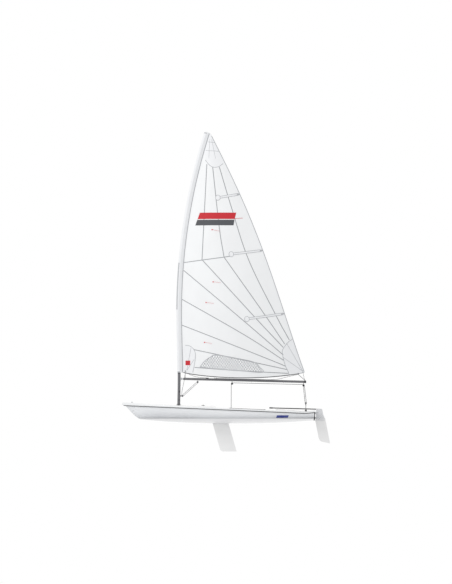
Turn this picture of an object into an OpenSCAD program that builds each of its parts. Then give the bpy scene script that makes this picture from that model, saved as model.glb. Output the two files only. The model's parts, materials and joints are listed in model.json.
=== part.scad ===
// Single-handed sailing dinghy: decked hull with a cockpit well, unstayed two-piece mast in a
// sleeve sail, boom and vang, lifting daggerboard, kick-up rudder and tiller.
// +X points aft, +Y to starboard and +Z up. The origin is amidships on the waterline.

/* [Hull] */
// Length of the hull over all
loa = 4230; // [3600:10:5100]
// Beam over the gunwale
beam = 1390; // [1150:10:1700]
// Width of the transom over the gunwale
transom_w = 1040; // [860:10:1250]
// Place of the greatest beam, as a share of the length from the bow
beam_at = 0.62; // [0.5:0.01:0.75]
// Draught of the hull body, without its foils
draught = 110; // [80:5:160]
// Height of the sheer, the underside of the gunwale, at the bow
sheer_bow = 291; // [230:1:360]
// Height of the sheer at the stern, before its upward tuck
sheer_stern = 105; // [80:1:180]
// How far the sheer tucks up at the transom
stern_tuck = 31; // [0:1:50]
// How far the gunwale overhangs the stem
nose_overhang = 68; // [40:1:100]
// Length over which the stem rises from the forefoot
stem_run = 337; // [250:1:450]
// Width of the gunwale outside the hull side
gunwale_w = 15; // [8:1:30]
// Height of the gunwale along the side
gunwale_h = 32; // [24:1:50]
// Extra height of the gunwale at the bow
bow_roll = 38; // [0:1:60]

/* [Deck] */
// Crown of the foredeck where it ends
fore_crown = 42; // [20:1:70]
// X of the aft end of the crowned foredeck
fore_end_x = -74; // [-150:1:-20]
// Crown of the side decks
side_crown = 4; // [0:1:15]
// X at which the aft deck steps up
aft_start_x = 1250; // [1240:1:1400]
// Crown of the aft deck at its front
aft_crown = 35; // [10:1:60]
// Crown of the aft deck at the transom
stern_crown = 10; // [0:1:30]

/* [Cockpit] */
// X of the front of the cockpit well
well_front_x = 210; // [200:1:300]
// X of the back of the cockpit well
well_back_x = 1225; // [1000:1:1230]
// Half width of the well at its front
well_front_w = 190; // [150:1:230]
// Half width of the well at its back
well_back_w = 265; // [200:1:300]
// Height of the well's floor
floor_z = 15; // [0:1:40]
// Wall of the cockpit tub
tub_t = 6; // [4:1:12]

/* [Mast] */
// X of the mast where it enters the deck
mast_x = -870; // [-1000:1:-750]
// Diameter of the lower mast section
mast_d = 63.5; // [55:0.5:78]
// Diameter of the upper mast section
topmast_d = 50.8; // [42:0.2:54]
// Wall of both mast sections
mast_wall = 2.9; // [2:0.1:4]
// Height of the mast's heel
heel_z = -30; // [-40:1:20]
// Rake of the mast at the deck, in degrees aft
mast_rake = 1; // [0.5:0.1:3]
// Length of the lower mast section
lower_mast_l = 2865; // [2500:5:3200]
// Length of the whole mast along its curve
mast_l = 6390; // [5600:10:7200]
// Radius of the forward bend behind the boom
fore_bend_r = 17900; // [12000:100:30000]
// Radius of the aft bend above
aft_bend_r = 13160; // [11000:10:20000]
// Running clearance of the mast in its step
step_clear = 0.5; // [0.3:0.1:1.5]

/* [Sail] */
// Distance from the mast's centre to the back of the luff sleeve
sleeve_aft = 85; // [60:1:110]
// Wall of the luff sleeve
sleeve_t = 4; // [3:0.5:6]
// X of the clew
clew_x = 1906; // [1700:1:2100]
// Height of the clew
clew_z = 1013; // [960:1:1100]
// Distance along the mast from its heel to the tack
tack_d = 1040; // [1000:5:1200]
// Outward round of the leech
roach = 145; // [80:1:200]
// Downward round of the foot
foot_round = 130; // [60:1:140]
// Depth of the sail's belly, as a share of its chord
belly = 0.075; // [0.03:0.005:0.12]
// Thickness of the solid that stands for the cloth
sail_t = 4; // [2:0.5:8]

/* [Boom] */
// Diameter of the boom
boom_d = 51; // [42:1:60]
// Wall of the boom
boom_wall = 2.5; // [2:0.1:4]
// Gap from the mast's centre to the front end of the boom
boom_gap = 100; // [80:1:130]
// Height of the boom's centre line at its front end
boom_front_z = 872; // [840:1:900]
// Length of the boom
boom_l = 2690; // [2400:10:2760]
// Droop of the boom, in degrees
boom_droop = 1.4; // [0:0.1:2]
// Distance from the boom's front end to its middle block
mid_block_d = 1068; // [900:1:1200]
// Distance from the boom's front end to its end block
end_block_d = 2641; // [2300:1:2660]
// Radius of the mainsheet blocks
block_r = 24; // [18:1:28]

/* [Vang] */
// Distance of the vang's boom block from the front end of the boom
vang_boom_d = 310; // [250:1:380]
// Height of the vang's mast block
vang_mast_z = 495; // [450:1:560]
// Diameter of the vang's rope
vang_rope_d = 6; // [4:0.5:8]

/* [Daggerboard] */
// Chord of the daggerboard, square to its length
board_c = 338; // [280:1:400]
// Thickness of the daggerboard
board_t = 30; // [22:1:38]
// Rake of the daggerboard, in degrees
board_rake = 16; // [10:0.5:20]
// X of the daggerboard's middle at the bottom of the hull
board_x = 52; // [20:1:80]
// Height of the daggerboard's tip
board_tip_z = -724; // [-900:1:-600]
// Thickness of the daggerboard's head
head_t = 24; // [16:1:28]
// Clearance round the board in its trunk
trunk_clear = 3; // [2:0.5:6]
// Wall of the trunk
trunk_wall = 6; // [4:1:10]
// Height of the seat under the board's head
head_seat_z = 204; // [190:1:215]

/* [Rudder] */
// Distance from the transom to the axis that the rudder turns about
rudder_axis_d = 22; // [18:1:30]
// Gap between the cheeks of the rudder head
cheek_gap = 27; // [22:1:34]
// Thickness of each cheek
cheek_t = 6; // [4:1:10]
// Thickness of the rudder blade
blade_t = 20; // [14:1:22]
// Depth of the blade's tip
blade_tip_z = -548; // [-640:1:-480]
// Rake of the rudder blade, in degrees
blade_rake = 11; // [6:0.5:16]
// Radius of the blade's bolt
bolt_r = 5; // [4:0.5:8]
// Radius of the pintle pins
pintle_r = 4; // [3:0.5:5]

/* [Tiller] */
// Diameter of the tiller
tiller_d = 22; // [18:1:25]
// Distance from the rudder's axis to the front end of the tiller
tiller_reach = 1013; // [850:1:1150]
// Height of the tiller's centre over the rudder head's axis
tiller_z = 205; // [200:1:215]
// Rise of the tiller towards its front, in degrees
tiller_rise = 1.6; // [0.5:0.1:3]
// Length of the tiller extension
extension_l = 900; // [700:10:960]
// Diameter of the tiller extension
extension_d = 16; // [12:1:20]

/* [Hidden] */
$fn = 48;
fit = 0.3;
eps = 1;
big = 3000;
nose_s = 0.004;
bow_fullness = 2.2;
nose_round = 0.85;
stern_taper = 1.7;
step_run = 33;
tuck_run = 247;
forefoot_z = -18;
keel_low_x = 300;
half_l = loa / 2;
nose_x = -half_l + nose_overhang;
forefoot_x = nose_x + stem_run;

// ---- hull lines -------------------------------------------------------------------------
function mix(a, b, t) = a + (b - a) * t;
function plan(s, widest, end) = s < beam_at
    ? widest * pow(1 - pow(1 - s / beam_at, bow_fullness), nose_round)
    : mix(widest, end, pow((s - beam_at) / (1 - beam_at), stern_taper));
function in_x(s) = mix(nose_x, half_l, s);
function in_y(s) = plan(s, beam / 2 - gunwale_w, transom_w / 2 - gunwale_w);
function out_x(s) = mix(-half_l, half_l, s);
function out_y(s) = plan(s, beam / 2, transom_w / 2);
function s_at(x) = (x - nose_x) / (half_l - nose_x);
function tuck(x) = stern_tuck * pow(max(0, x - half_l + tuck_run) / tuck_run, 1.5);
function sheer_z(x) = mix(sheer_bow, sheer_stern, (x + half_l) / loa) + tuck(x);
function keel_z(x) = x < forefoot_x
    ? mix(forefoot_z, sheer_z(nose_x), pow((forefoot_x - x) / stem_run, 1.33))
    : x < keel_low_x
    ? mix(-draught, forefoot_z, pow((keel_low_x - x) / (keel_low_x - forefoot_x), 2.2))
    : -draught + 68 * pow((x - keel_low_x) / (half_l - keel_low_x), 2.2);
function edge_z(x) = sheer_z(x) + gunwale_h + bow_roll * pow(1 - (x + half_l) / loa, 4);
function crown(x) = x <= fore_end_x ? fore_crown * pow((x + half_l) / (fore_end_x + half_l), 1.9)
    : x < fore_end_x + step_run ? mix(fore_crown, side_crown, (x - fore_end_x) / step_run)
    : x <= aft_start_x ? side_crown
    : x < aft_start_x + step_run ? mix(side_crown, aft_crown, (x - aft_start_x) / step_run)
    : mix(aft_crown, stern_crown,
          (x - aft_start_x - step_run) / (half_l - aft_start_x - step_run));
function deck_z(x, y) = edge_z(x) + crown(x) * (1 - pow(y / in_y(s_at(x)), 2));

// Stations along the hull, closer together at the bow and one at each step of the deck
function run(a, b, n, bias = 1) = [for (i = [0:n]) mix(a, b, pow(i / n, bias))];
stations = concat(
    run(nose_s, s_at(fore_end_x), 12, 1.4),
    run(s_at(fore_end_x + step_run), s_at(aft_start_x), 6),
    run(s_at(aft_start_x + step_run), 1, 5)
);

// A solid skinned over rings of points that all have the same count. Each end is closed by one
// flat face, or by triangles from side to side where the ring is a thin strip.
module skin(rings, strip = false) {
    n = len(rings[0]);
    last = (len(rings) - 1) * n;
    sides = [
        for (i = [0:len(rings) - 2], j = [0:n - 1])
            let (a = i * n + j, b = i * n + (j + 1) % n)
                each [[a, b, a + n], [b, b + n, a + n]]
    ];
    flat = [[for (j = [0:n - 1]) n - 1 - j], [for (j = [0:n - 1]) last + j]];
    across = [
        for (j = [0:n / 2 - 2]) let (k = n - 1 - j)
            each [[j + 1, j, k], [j + 1, k, k - 1], [last + j, last + j + 1, last + k],
                  [last + j + 1, last + k - 1, last + k]]
    ];
    polyhedron(points = [for (r = rings, p = r) p], faces = concat(sides, strip ? across : flat));
}

// Half section of the hull: deep and sharp at the bow, flat with a round bilge further aft
function section(s, angle) =
    let (sharp = mix(1.4, 0.78, min(1, s / 0.45)), x = in_x(s), top = sheer_z(x))
        [in_y(s) * pow(sin(angle), sharp),
         top - (top - keel_z(x)) * pow(cos(angle), sharp)];

function hull_ring(s) = [
    for (i = [-10:10]) let (p = section(s, abs(i) * 9)) [in_x(s), -sign(i) * p[0], p[1]]
];

// Height of the deck's own facets at a place on it
function row_z(i, share) =
    let (x = in_x(stations[i]), y = in_y(stations[i]), j = min(9, floor((share + 1) * 5)))
        mix(deck_z(x, y * (j / 5 - 1)), deck_z(x, y * ((j + 1) / 5 - 1)), (share + 1) * 5 - j);
function facet_z(x, y) =
    let (s = s_at(x), i = max([for (k = [0:len(stations) - 2]) if (s >= stations[k]) k]),
         t = (s - stations[i]) / (stations[i + 1] - stations[i]),
         share = y / mix(in_y(stations[i]), in_y(stations[i + 1]), t))
        mix(row_z(i, share), row_z(i + 1, share), t);

function deck_ring(s) = let (x = in_x(s), y = in_y(s)) concat(
    [[x, y, sheer_z(x)]],
    [for (i = [0:10]) let (w = y * (1 - i / 5)) [x, w, deck_z(x, w)]],
    [[x, -y, sheer_z(x)]]
);

// Section of the gunwale: round outside, against the hull and deck inside
function gunwale_ring(s, side) =
    let (xi = in_x(max(s, nose_s)), yi = s > 0 ? side * in_y(s) : 0,
         xo = out_x(s), yo = side * out_y(s), lo = sheer_z(xi), hi = edge_z(xi))
        [for (p = [[0, 0], [0.55, 0], [0.9, 0.12], [1, 0.35], [0.97, 0.72], [0.75, 0.94], [0, 1]])
            [mix(xi, xo, p[0]), mix(yi, yo, p[0]), mix(lo, hi, p[1])]];

// ---- cockpit well, trunk and step -------------------------------------------------------
corner_r = 70;
function well_corner(x, y, from, wall) = [
    for (i = [0:6]) [x + (corner_r + wall) * cos(from + i * 15),
                     y + (corner_r + wall) * sin(from + i * 15)]
];
module well_plan(wall = 0) {
    front = well_front_x + corner_r;
    back = well_back_x - corner_r;
    polygon(concat(
        well_corner(back, well_back_w - corner_r, 0, wall),
        well_corner(front, well_front_w - corner_r, 90, wall),
        well_corner(front, corner_r - well_front_w, 180, wall),
        well_corner(back, corner_r - well_back_w, 270, wall)
    ));
}

module well(wall = 0) {
    translate([0, 0, floor_z - wall]) linear_extrude(big) well_plan(wall);
}

// The daggerboard's frame: its Z runs up the board and its X across the chord
module on_board() {
    translate([board_x, 0, -draught]) rotate([0, -board_rake, 0]) children();
}

module slot(grow) {
    cube([board_c + 2 * grow, board_t + 2 * grow, big], center = true);
}

head_w = 2 * board_t;
head_over = 14;
module head_pocket() {
    intersection() {
        on_board() cube([board_c + 2 * (head_over + 6), head_w + 12, big], center = true);
        translate([-big / 2, -big / 2, head_seat_z]) cube(big);
    }
}

// Where the mast's straight foot runs, from its heel up
foot_run = 670;
heel_x = mast_x - tan(mast_rake) * (deck_z(mast_x, 0) - heel_z);
module at_heel() {
    translate([heel_x, 0, heel_z]) rotate([0, mast_rake, 0]) children();
}
step_wall = 5;
step_base = 12;
step_r = mast_d / 2 + step_clear;
module step_hole() {
    at_heel() translate([0, 0, -step_base - fit]) cylinder(r = step_r + step_wall + 0.1, h = 600);
}

module hull() {
    color("whitesmoke") difference() {
        skin([for (s = stations) hull_ring(s)]);
        well(tub_t);
        on_board() slot(trunk_clear + trunk_wall);
        head_pocket();
        step_hole();
    }
}

module deck() {
    color("white") difference() {
        skin([for (s = stations) deck_ring(s)]);
        well();
        on_board() slot(trunk_clear + trunk_wall);
        head_pocket();
        step_hole();
    }
}

module gunwale() {
    color("gainsboro") skin(concat(
        [for (i = [len(stations) - 1:-1:0]) gunwale_ring(stations[i], -1)],
        [gunwale_ring(0, 1)],
        [for (s = stations) gunwale_ring(s, 1)]
    ));
}

module above_sheer() {
    rotate([90, 0, 0]) linear_extrude(big, center = true) polygon([
        [well_front_x - 50, sheer_z(well_front_x - 50)],
        [well_back_x + 50, sheer_z(well_back_x + 50)],
        [well_back_x + 50, 2 * big],
        [well_front_x - 50, 2 * big]
    ]);
}

module cockpit_tub() {
    color("white") difference() {
        well(tub_t);
        well();
        above_sheer();
    }
}

trunk_foot_z = -draught + 14;
module daggerboard_trunk() {
    color("gainsboro") intersection() {
        difference() {
            on_board() slot(trunk_clear + trunk_wall);
            on_board() slot(trunk_clear);
        }
        translate([-big / 2, -big / 2, trunk_foot_z])
            cube([big, big, head_seat_z - trunk_foot_z]);
    }
}

collar_h = 9;
module mast_step() {
    length = (deck_z(mast_x, 0) - heel_z) / cos(mast_rake) + collar_h;
    color("dimgray") at_heel() difference() {
        union() {
            translate([0, 0, -step_base - fit])
                cylinder(r = step_r + step_wall, h = length + step_base);
            translate([0, 0, length - collar_h + 3]) cylinder(r = step_r + 22, h = collar_h - 3);
        }
        translate([0, 0, -fit]) cylinder(r = step_r, h = big);
    }
}

// ---- the mast's curve -------------------------------------------------------------------
// Each stretch is [length, curvature]; a positive curvature bends aft
bends = [[foot_run, 0], [760, -1 / fore_bend_r], [600, 0], [mast_l, 1 / aft_bend_r]];
function go(p, d, k) = k == 0
    ? [p[0] + d * sin(p[2]), p[1] + d * cos(p[2]), p[2]]
    : let (turned = p[2] + d * k * 180 / PI)
        [p[0] + (cos(p[2]) - cos(turned)) / k, p[1] + (sin(turned) - sin(p[2])) / k, turned];
function start_d(i) = i == 0 ? 0 : start_d(i - 1) + bends[i - 1][0];
function start_p(i) = i == 0 ? [heel_x, heel_z, mast_rake]
    : go(start_p(i - 1), bends[i - 1][0], bends[i - 1][1]);
function bend_of(d) = len([for (i = [1:3]) if (d > start_d(i)) i]);
// Place and lean of the mast's centre line at a distance from the heel
function mast_at(d) = let (i = bend_of(d)) go(start_p(i), d - start_d(i), bends[i][1]);
// The same, moved aft from the centre line by off
function behind(d, off) = let (p = mast_at(d))
    [p[0] + off * cos(p[2]), p[1] - off * sin(p[2])];

// Sweeps a flat profile, X aft, along the mast between two distances that lie in one stretch
module along_mast(from, to) {
    p = mast_at(from);
    k = bends[bend_of(from)][1];
    turn = (to - from) * k * 180 / PI;
    if (k == 0)
        translate([p[0], 0, p[1]]) rotate([0, p[2], 0]) linear_extrude(to - from) children();
    else
        translate([p[0], 0, p[1]]) rotate([0, p[2], 0]) rotate([90, 0, 0])
            translate([1 / k, 0]) rotate([0, 0, 180 - turn])
                rotate_extrude(angle = turn, $fn = 1440) let ($fn = 48)
                    translate([1 / k, 0]) mirror([1, 0]) children();
}

// The ring that a flat shape makes square to the mast at a distance from its heel
function ring_at(d, shape) = let (p = mast_at(d))
    [for (q = shape) [p[0] + q[0] * cos(p[2]), q[1], p[1] - q[0] * sin(p[2])]];
function round_shape(r, n) = [for (i = [n - 1:-1:0]) [r * cos(i * 360 / n), r * sin(i * 360 / n)]];

module tube(d, wall) {
    difference() {
        circle(d = d);
        circle(d = d - 2 * wall);
    }
}

// The mast's surface near one height, as room for a fitting that seats on it
module mast_void(d) {
    p = mast_at(d);
    translate([p[0], 0, p[1]]) rotate([0, p[2], 0])
        cylinder(d = mast_d + 0.5, h = 300, center = true);
}

heel_plug_h = 20;
module mast_heel_plug() {
    color("black") at_heel() cylinder(d = mast_d, h = heel_plug_h);
}

module lower_mast() {
    shape = round_shape(mast_d / 2 - 0.05, 24);
    color("gray") {
        at_heel() translate([0, 0, heel_plug_h]) cylinder(d = mast_d, h = foot_run - heel_plug_h);
        skin([for (d = run(foot_run - 10, lower_mast_l, 12)) ring_at(d, shape)]);
    }
}

module upper_mast() {
    color("gray") along_mast(lower_mast_l, mast_l) tube(topmast_d, mast_wall);
}

module mast_collar() {
    color("dimgray") along_mast(lower_mast_l, lower_mast_l + 22) difference() {
        circle(d = mast_d);
        circle(d = topmast_d + 0.2);
    }
}

module masthead_cap() {
    color("black") {
        along_mast(mast_l - 30, mast_l) circle(d = topmast_d - 2 * mast_wall - 0.2);
        along_mast(mast_l, mast_l + 10) circle(d = topmast_d + 2);
    }
}

// ---- sail -------------------------------------------------------------------------------
sleeve_tip_r = 3;
sleeve_in = mast_d / 2 + 2.2;
// Teardrop section of the sleeve: round about the mast and drawn out to a thin edge aft
function sleeve_shape(round_r, tip_r, tip_x) = concat(
    [for (i = [11:-1:1]) [round_r * cos(i * 30), round_r * sin(i * 30)]],
    [[tip_x, tip_r], [tip_x, -tip_r]]
);

head_d = mast_l + 30;
// Heights of the sail's rows, as shares of its luff; the sleeve's rings lie at the same ones
sail_rows = run(0, 1, 18, 1.1);
function luff_d(v) = mix(tack_d, head_d - 4, v);
module sail_sleeve() {
    outer = sleeve_shape(sleeve_in + sleeve_t, sleeve_tip_r, sleeve_aft);
    inner = sleeve_shape(sleeve_in, 0.5, sleeve_aft - 14);
    color("whitesmoke") difference() {
        skin([for (v = sail_rows) ring_at(luff_d(v), outer)]);
        skin([for (v = sail_rows) ring_at(luff_d(v) - (v == 0 ? 20 : 0) - (v == 1 ? 12 : 0), inner)]);
    }
}

cloth_gap = 0.5;
head_pt = behind(head_d - 10, sleeve_aft + 20);
function foot_dip(u, v) = foot_round * pow(sin(180 * u), 0.7) * exp(-v * 16);
function leech(v) = [mix(clew_x, head_pt[0], v) + roach * sin(180 * pow(v, 1.3)),
                     mix(clew_z, head_pt[1], v)];
function sail_point(u, v) =
    let (luff = behind(luff_d(v), sleeve_aft + cloth_gap), end = leech(v),
         chord = norm(end - luff))
        [mix(luff[0], end[0], u),
         -belly * chord * sin(180 * pow(u, 0.85)) - 60 * u * sin(180 * v),
         mix(luff[1], end[1], u) - foot_dip(u, v)];
function sail_row(v, n) = [
    for (i = [0:n]) sail_point(i / n, v) - [0, sail_t / 2, 0],
    for (i = [n:-1:0]) sail_point(i / n, v) + [0, sail_t / 2, 0]
];
module sail_body() {
    color("white") skin([for (v = sail_rows) sail_row(v, 12)], strip = true);
}

// ---- boom and vang ----------------------------------------------------------------------
boom_front_x = mast_at(boom_front_z - heel_z)[0] + boom_gap;
// The boom's frame: its Z runs aft along the boom and its X points down
module on_boom() {
    translate([boom_front_x, 0, boom_front_z]) rotate([0, 90 + boom_droop, 0]) children();
}
function boom_at(d, drop) = [boom_front_x + d * cos(boom_droop) - drop * sin(boom_droop), 0,
                             boom_front_z - d * sin(boom_droop) - drop * cos(boom_droop)];

module boom() {
    color("gray") on_boom() difference() {
        cylinder(d = boom_d, h = boom_l);
        translate([0, 0, -eps]) cylinder(d = boom_d - 2 * boom_wall, h = boom_l + 2 * eps);
    }
}

cap_t = 6;
module boom_end_caps() {
    color("black") on_boom() for (end = [0, 1]) {
        translate([0, 0, end * (boom_l + cap_t) - cap_t]) cylinder(d = boom_d + 3, h = cap_t);
        translate([0, 0, end * (boom_l - 25)]) cylinder(d = boom_d - 2 * boom_wall - 0.2, h = 25);
    }
}

module gooseneck() {
    reach = boom_gap - cap_t - fit;
    color("silver") difference() {
        union() {
            translate([boom_front_x - boom_gap, 0, boom_front_z]) rotate([0, 90 + boom_droop, 0]) {
                translate([-45, -15, 0]) cube([90, 30, mast_d / 2 + 4]);
                translate([-14, -10, 0]) cube([28, 20, reach]);
            }
            translate([boom_front_x - boom_gap + mast_d / 2 + 22, 0, boom_front_z])
                cylinder(r = 13, h = 50, center = true);
        }
        mast_void(boom_front_z - heel_z);
    }
}

// A rope block: two cheeks, a sheave between them and a pin, turning about Y
module block(r, wide = 18) {
    rotate([90, 0, 0]) {
        for (side = [-1, 1])
            translate([0, 0, side * (wide / 2 - 1.5)]) cylinder(r = r, h = 3, center = true);
        cylinder(r = r - 4, h = wide - 3, center = true);
        cylinder(r = 5, h = wide + 4, center = true);
    }
}

module hanging_block(d) {
    drop = boom_d / 2 + 30 + block_r;
    color("dimgray") {
        on_boom() translate([drop, 0, d]) rotate([0, -90 - boom_droop, 0]) block(block_r);
        on_boom() difference() {
            translate([boom_d / 2 - 8, 0, d]) rotate([0, 90, 0])
                cylinder(r = 5, h = 30 + 8 + 8);
            cylinder(d = boom_d + 2 * fit, h = boom_l);
        }
    }
}

module boom_middle_block() { hanging_block(mid_block_d); }

module boom_end_block() { hanging_block(end_block_d); }

vang_r = 20;
vang_tang = 26;
vang_mast_d = (vang_mast_z - heel_z) / cos(mast_rake);
vang_low = [behind(vang_mast_d, mast_d / 2 + vang_tang + vang_r)[0], 0, vang_mast_z];
vang_high = boom_at(vang_boom_d, boom_d / 2 + 18 + vang_r);
vang_lean = atan2(vang_high[0] - vang_low[0], vang_high[2] - vang_low[2]);

module vang_mast_block() {
    color("dimgray") {
        translate(vang_low) block(vang_r);
        difference() {
            translate([vang_low[0] - vang_tang - vang_r - 20, -6, vang_mast_z - 12])
                cube([vang_tang + vang_r + 10, 12, 24]);
            mast_void(vang_mast_d);
        }
    }
}

module vang_boom_block() {
    color("dimgray") {
        translate(vang_high) block(vang_r);
        on_boom() difference() {
            translate([boom_d / 2 - 8, 0, vang_boom_d]) rotate([0, 90, 0]) cylinder(r = 6, h = 36);
            cylinder(d = boom_d + 2 * fit, h = boom_l);
        }
    }
}

module vang_rope() {
    length = norm(vang_high - vang_low);
    off = vang_r - vang_rope_d;
    start = sqrt(pow(vang_r - 4 + fit, 2) - pow(off - vang_rope_d / 2, 2));
    color("navy") translate(vang_low) rotate([0, vang_lean, 0]) for (side = [-1, 1])
        translate([side * off, 0, start]) cylinder(d = vang_rope_d, h = length - 2 * start);
}

// ---- foils ------------------------------------------------------------------------------
function foil_half(u) = 5 * (0.2969 * sqrt(u) - 0.126 * u - 0.3516 * u * u
    + 0.2843 * pow(u, 3) - 0.1015 * pow(u, 4));
// Foil section with its leading edge at -X
module foil(chord, thick) {
    us = [for (i = [0:10]) pow(i / 10, 1.6)];
    polygon(concat(
        [for (u = us) [chord * (u - 0.5), thick * foil_half(u)]],
        [for (i = [10:-1:1]) [chord * (us[i] - 0.5), -thick * foil_half(us[i])]]
    ));
}
// A flat outline in the XZ plane as a slab wide enough to trim a foil
module side_cut() {
    rotate([90, 0, 0]) linear_extrude(200, center = true) children();
}

tip_round = 85;
// X of the board's leading and trailing edges at a height
function board_edge(z, side) =
    board_x - (z + draught) * tan(board_rake) + side * board_c / 2 / cos(board_rake);
module daggerboard() {
    top = head_seat_z + head_t / 2;
    tip = board_tip_z;
    lead = board_edge(tip + tip_round, -1);
    color("white") difference() {
        intersection() {
            on_board() linear_extrude(2 * big, center = true) foil(board_c, board_t);
            side_cut() polygon(concat(
                [[board_edge(top, -1) - 30, top], [lead, tip + tip_round]],
                [for (i = [1:6]) [lead + tip_round * (1 - cos(i * 15)),
                                  tip + tip_round * (1 - sin(i * 15))]],
                [[board_edge(tip, 1) + 30, tip], [board_edge(top, 1) + 30, top]]
            ));
        }
        daggerboard_head_solid(0.1);
    }
}

module daggerboard_head_solid(grow = 0) {
    intersection() {
        on_board() cube([board_c + 2 * (head_over + grow), head_w + 2 * grow, big], center = true);
        translate([-big / 2, -big / 2, head_seat_z + fit - grow])
            cube([big, big, head_t + 2 * grow]);
    }
}

module daggerboard_head() {
    color("dimgray") daggerboard_head_solid();
}

axis_x = half_l + rudder_axis_d;
head_front_x = axis_x + 12;
pivot_x = axis_x + 85;
pivot_z = 0;
head_top_z = 212;
bolt_clear = 0.3;
pivot_disc_r = 62;
seat_l = 128;
// Top of the block that the tiller rests on, under the tiller's lowest point over it
tiller_seat_z = tiller_z - (head_front_x + seat_l - axis_x) * tan(tiller_rise)
    - tiller_d / 2 / cos(tiller_rise) - fit;
module rudder_head() {
    lower = -45;
    color("gainsboro") difference() {
        union() {
            for (side = [-1, 1]) translate([0, side * (cheek_gap + cheek_t) / 2, 0])
                rotate([90, 0, 0]) linear_extrude(cheek_t, center = true) polygon([
                    [head_front_x, lower + 12], [head_front_x, head_top_z - 10],
                    [head_front_x + 10, head_top_z], [head_front_x + 125, head_top_z],
                    [head_front_x + 140, head_top_z - 14], [head_front_x + 158, 92],
                    [head_front_x + 186, 25], [head_front_x + 176, lower],
                    [head_front_x + 12, lower]
                ]);
            translate([head_front_x, -cheek_gap / 2, 78]) cube([14, cheek_gap, 108]);
            translate([head_front_x, -cheek_gap / 2, tiller_seat_z - 20])
                cube([seat_l, cheek_gap, 20]);
        }
        translate([pivot_x, 0, pivot_z]) rotate([90, 0, 0])
            cylinder(r = bolt_r + 0.1, h = 200, center = true);
    }
}

module rudder_bolt() {
    width = cheek_gap + 2 * cheek_t;
    color("silver") translate([pivot_x, 0, pivot_z]) rotate([90, 0, 0]) {
        cylinder(r = bolt_r, h = width + 2, center = true);
        for (side = [-1, 1]) translate([0, 0, side * (width / 2 + 3)])
            cylinder(r = bolt_r * 2, h = 6 - 2 * 0.1, center = true);
    }
}

blade_c = 224;
module rudder_blade() {
    shift = tan(blade_rake);
    lead_x = axis_x - 4;
    tip = blade_tip_z;
    fore = lead_x - (tip + 42) * shift;
    back = fore + blade_c / cos(blade_rake);
    color("white") difference() {
        intersection() {
            translate([lead_x + blade_c / 2 / cos(blade_rake), 0, -42]) rotate([0, -blade_rake, 0])
                linear_extrude(2000, center = true) foil(blade_c, blade_t);
            side_cut() polygon(concat(
                [[pivot_x - pivot_disc_r, pivot_z], [lead_x - 1, -42],
                 [fore - 120 * shift - 1, tip + 120], [fore, tip + 72], [fore + 14, tip + 54],
                 [fore + 38, tip + 40], [back + 1, tip],
                 [back + 1 - (9 - tip) * shift, 9]],
                [for (i = [2:12]) [pivot_x - pivot_disc_r * cos(180 - i * 15),
                                   pivot_z + pivot_disc_r * sin(180 - i * 15)]]
            ));
        }
        translate([pivot_x, 0, pivot_z]) rotate([90, 0, 0])
            cylinder(r = bolt_r + bolt_clear, h = 200, center = true);
    }
}

gudgeon_h = 12;
gudgeons = [0, 110];
pintle_clear = 0.4;
module transom_gudgeons() {
    color("silver") for (z = gudgeons) difference() {
        union() {
            translate([half_l, -35, z - 8]) cube([4, 70, gudgeon_h + 16]);
            translate([half_l, -6, z]) cube([rudder_axis_d, 12, gudgeon_h]);
            translate([axis_x, 0, z]) cylinder(r = 8, h = gudgeon_h);
        }
        translate([axis_x, 0, z - 20]) cylinder(r = pintle_r + pintle_clear, h = 60);
    }
}

module rudder_pintles() {
    outside = cheek_gap / 2 + cheek_t + 0.1;
    arm = 2.5;
    color("silver") for (z = gudgeons) translate([axis_x, 0, z + gudgeon_h + fit]) {
        cylinder(r = 8, h = 16);
        translate([0, 0, -gudgeon_h - 8]) cylinder(r = pintle_r, h = gudgeon_h + 10);
        translate([4, -outside - arm, 0]) cube([12 - 4 - 0.2, 2 * (outside + arm), 16]);
        for (side = [-1, 1]) translate([4, side * (outside + arm / 2) - arm / 2, 0])
            cube([64, arm, 16]);
    }
}

// ---- tiller -----------------------------------------------------------------------------
tiller_back = 140;
// The tiller's frame: its Z runs forward along the tiller from the rudder's axis
module on_tiller() {
    translate([axis_x, 0, tiller_z]) rotate([0, -90 + tiller_rise, 0]) children();
}

module tiller() {
    color("gray") on_tiller() difference() {
        translate([0, 0, -tiller_back]) cylinder(d = tiller_d, h = tiller_reach + tiller_back - 70);
        translate([0, 0, -tiller_back - eps])
            cylinder(d = tiller_d - 4, h = tiller_reach + tiller_back);
    }
}

module tiller_grip() {
    color("black") on_tiller() {
        translate([0, 0, tiller_reach - 70 + 0.1]) cylinder(d = tiller_d + 8, h = 70);
        translate([0, 0, tiller_reach - 110]) cylinder(d = tiller_d - 4.4, h = 60);
    }
}

module tiller_extension() {
    side = tiller_d / 2 + extension_d / 2 + 4.3;
    color("dimgray") on_tiller() translate([-2, side, tiller_reach - 30]) {
        translate([0, 0, -extension_l]) difference() {
            cylinder(d = extension_d, h = extension_l);
            translate([0, 0, 8]) cylinder(d = extension_d - 3, h = extension_l - 16);
        }
        rotate([90, 0, 0]) cylinder(r = extension_d / 2 + 3, h = extension_d, center = true);
    }
}

// ---- fittings on the hull ---------------------------------------------------------------
// Height at which a level foot of the given half length and half width clears the deck
function seat_z(x, y, foot) = fit
    + max([for (a = [-1:1], b = [-1:1]) facet_z(x + a * foot[0], y + b * foot[1])]);
module on_deck(x, y, foot) {
    translate([x, y, seat_z(x, y, foot)]) children();
}

eye_x = -half_l + 215;
eye_bore_r = 6;
module bow_eye() {
    color("silver") on_deck(eye_x, 0, [25, 12]) difference() {
        union() {
            translate([-25, -12, 0]) cube([50, 24, 4]);
            translate([-12, -4, 0]) cube([24, 8, 16]);
            translate([0, 0, 16]) rotate([90, 0, 0]) cylinder(r = 12, h = 8, center = true);
        }
        translate([0, 0, 16]) rotate([90, 0, 0]) cylinder(r = eye_bore_r, h = 40, center = true);
    }
}

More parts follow.
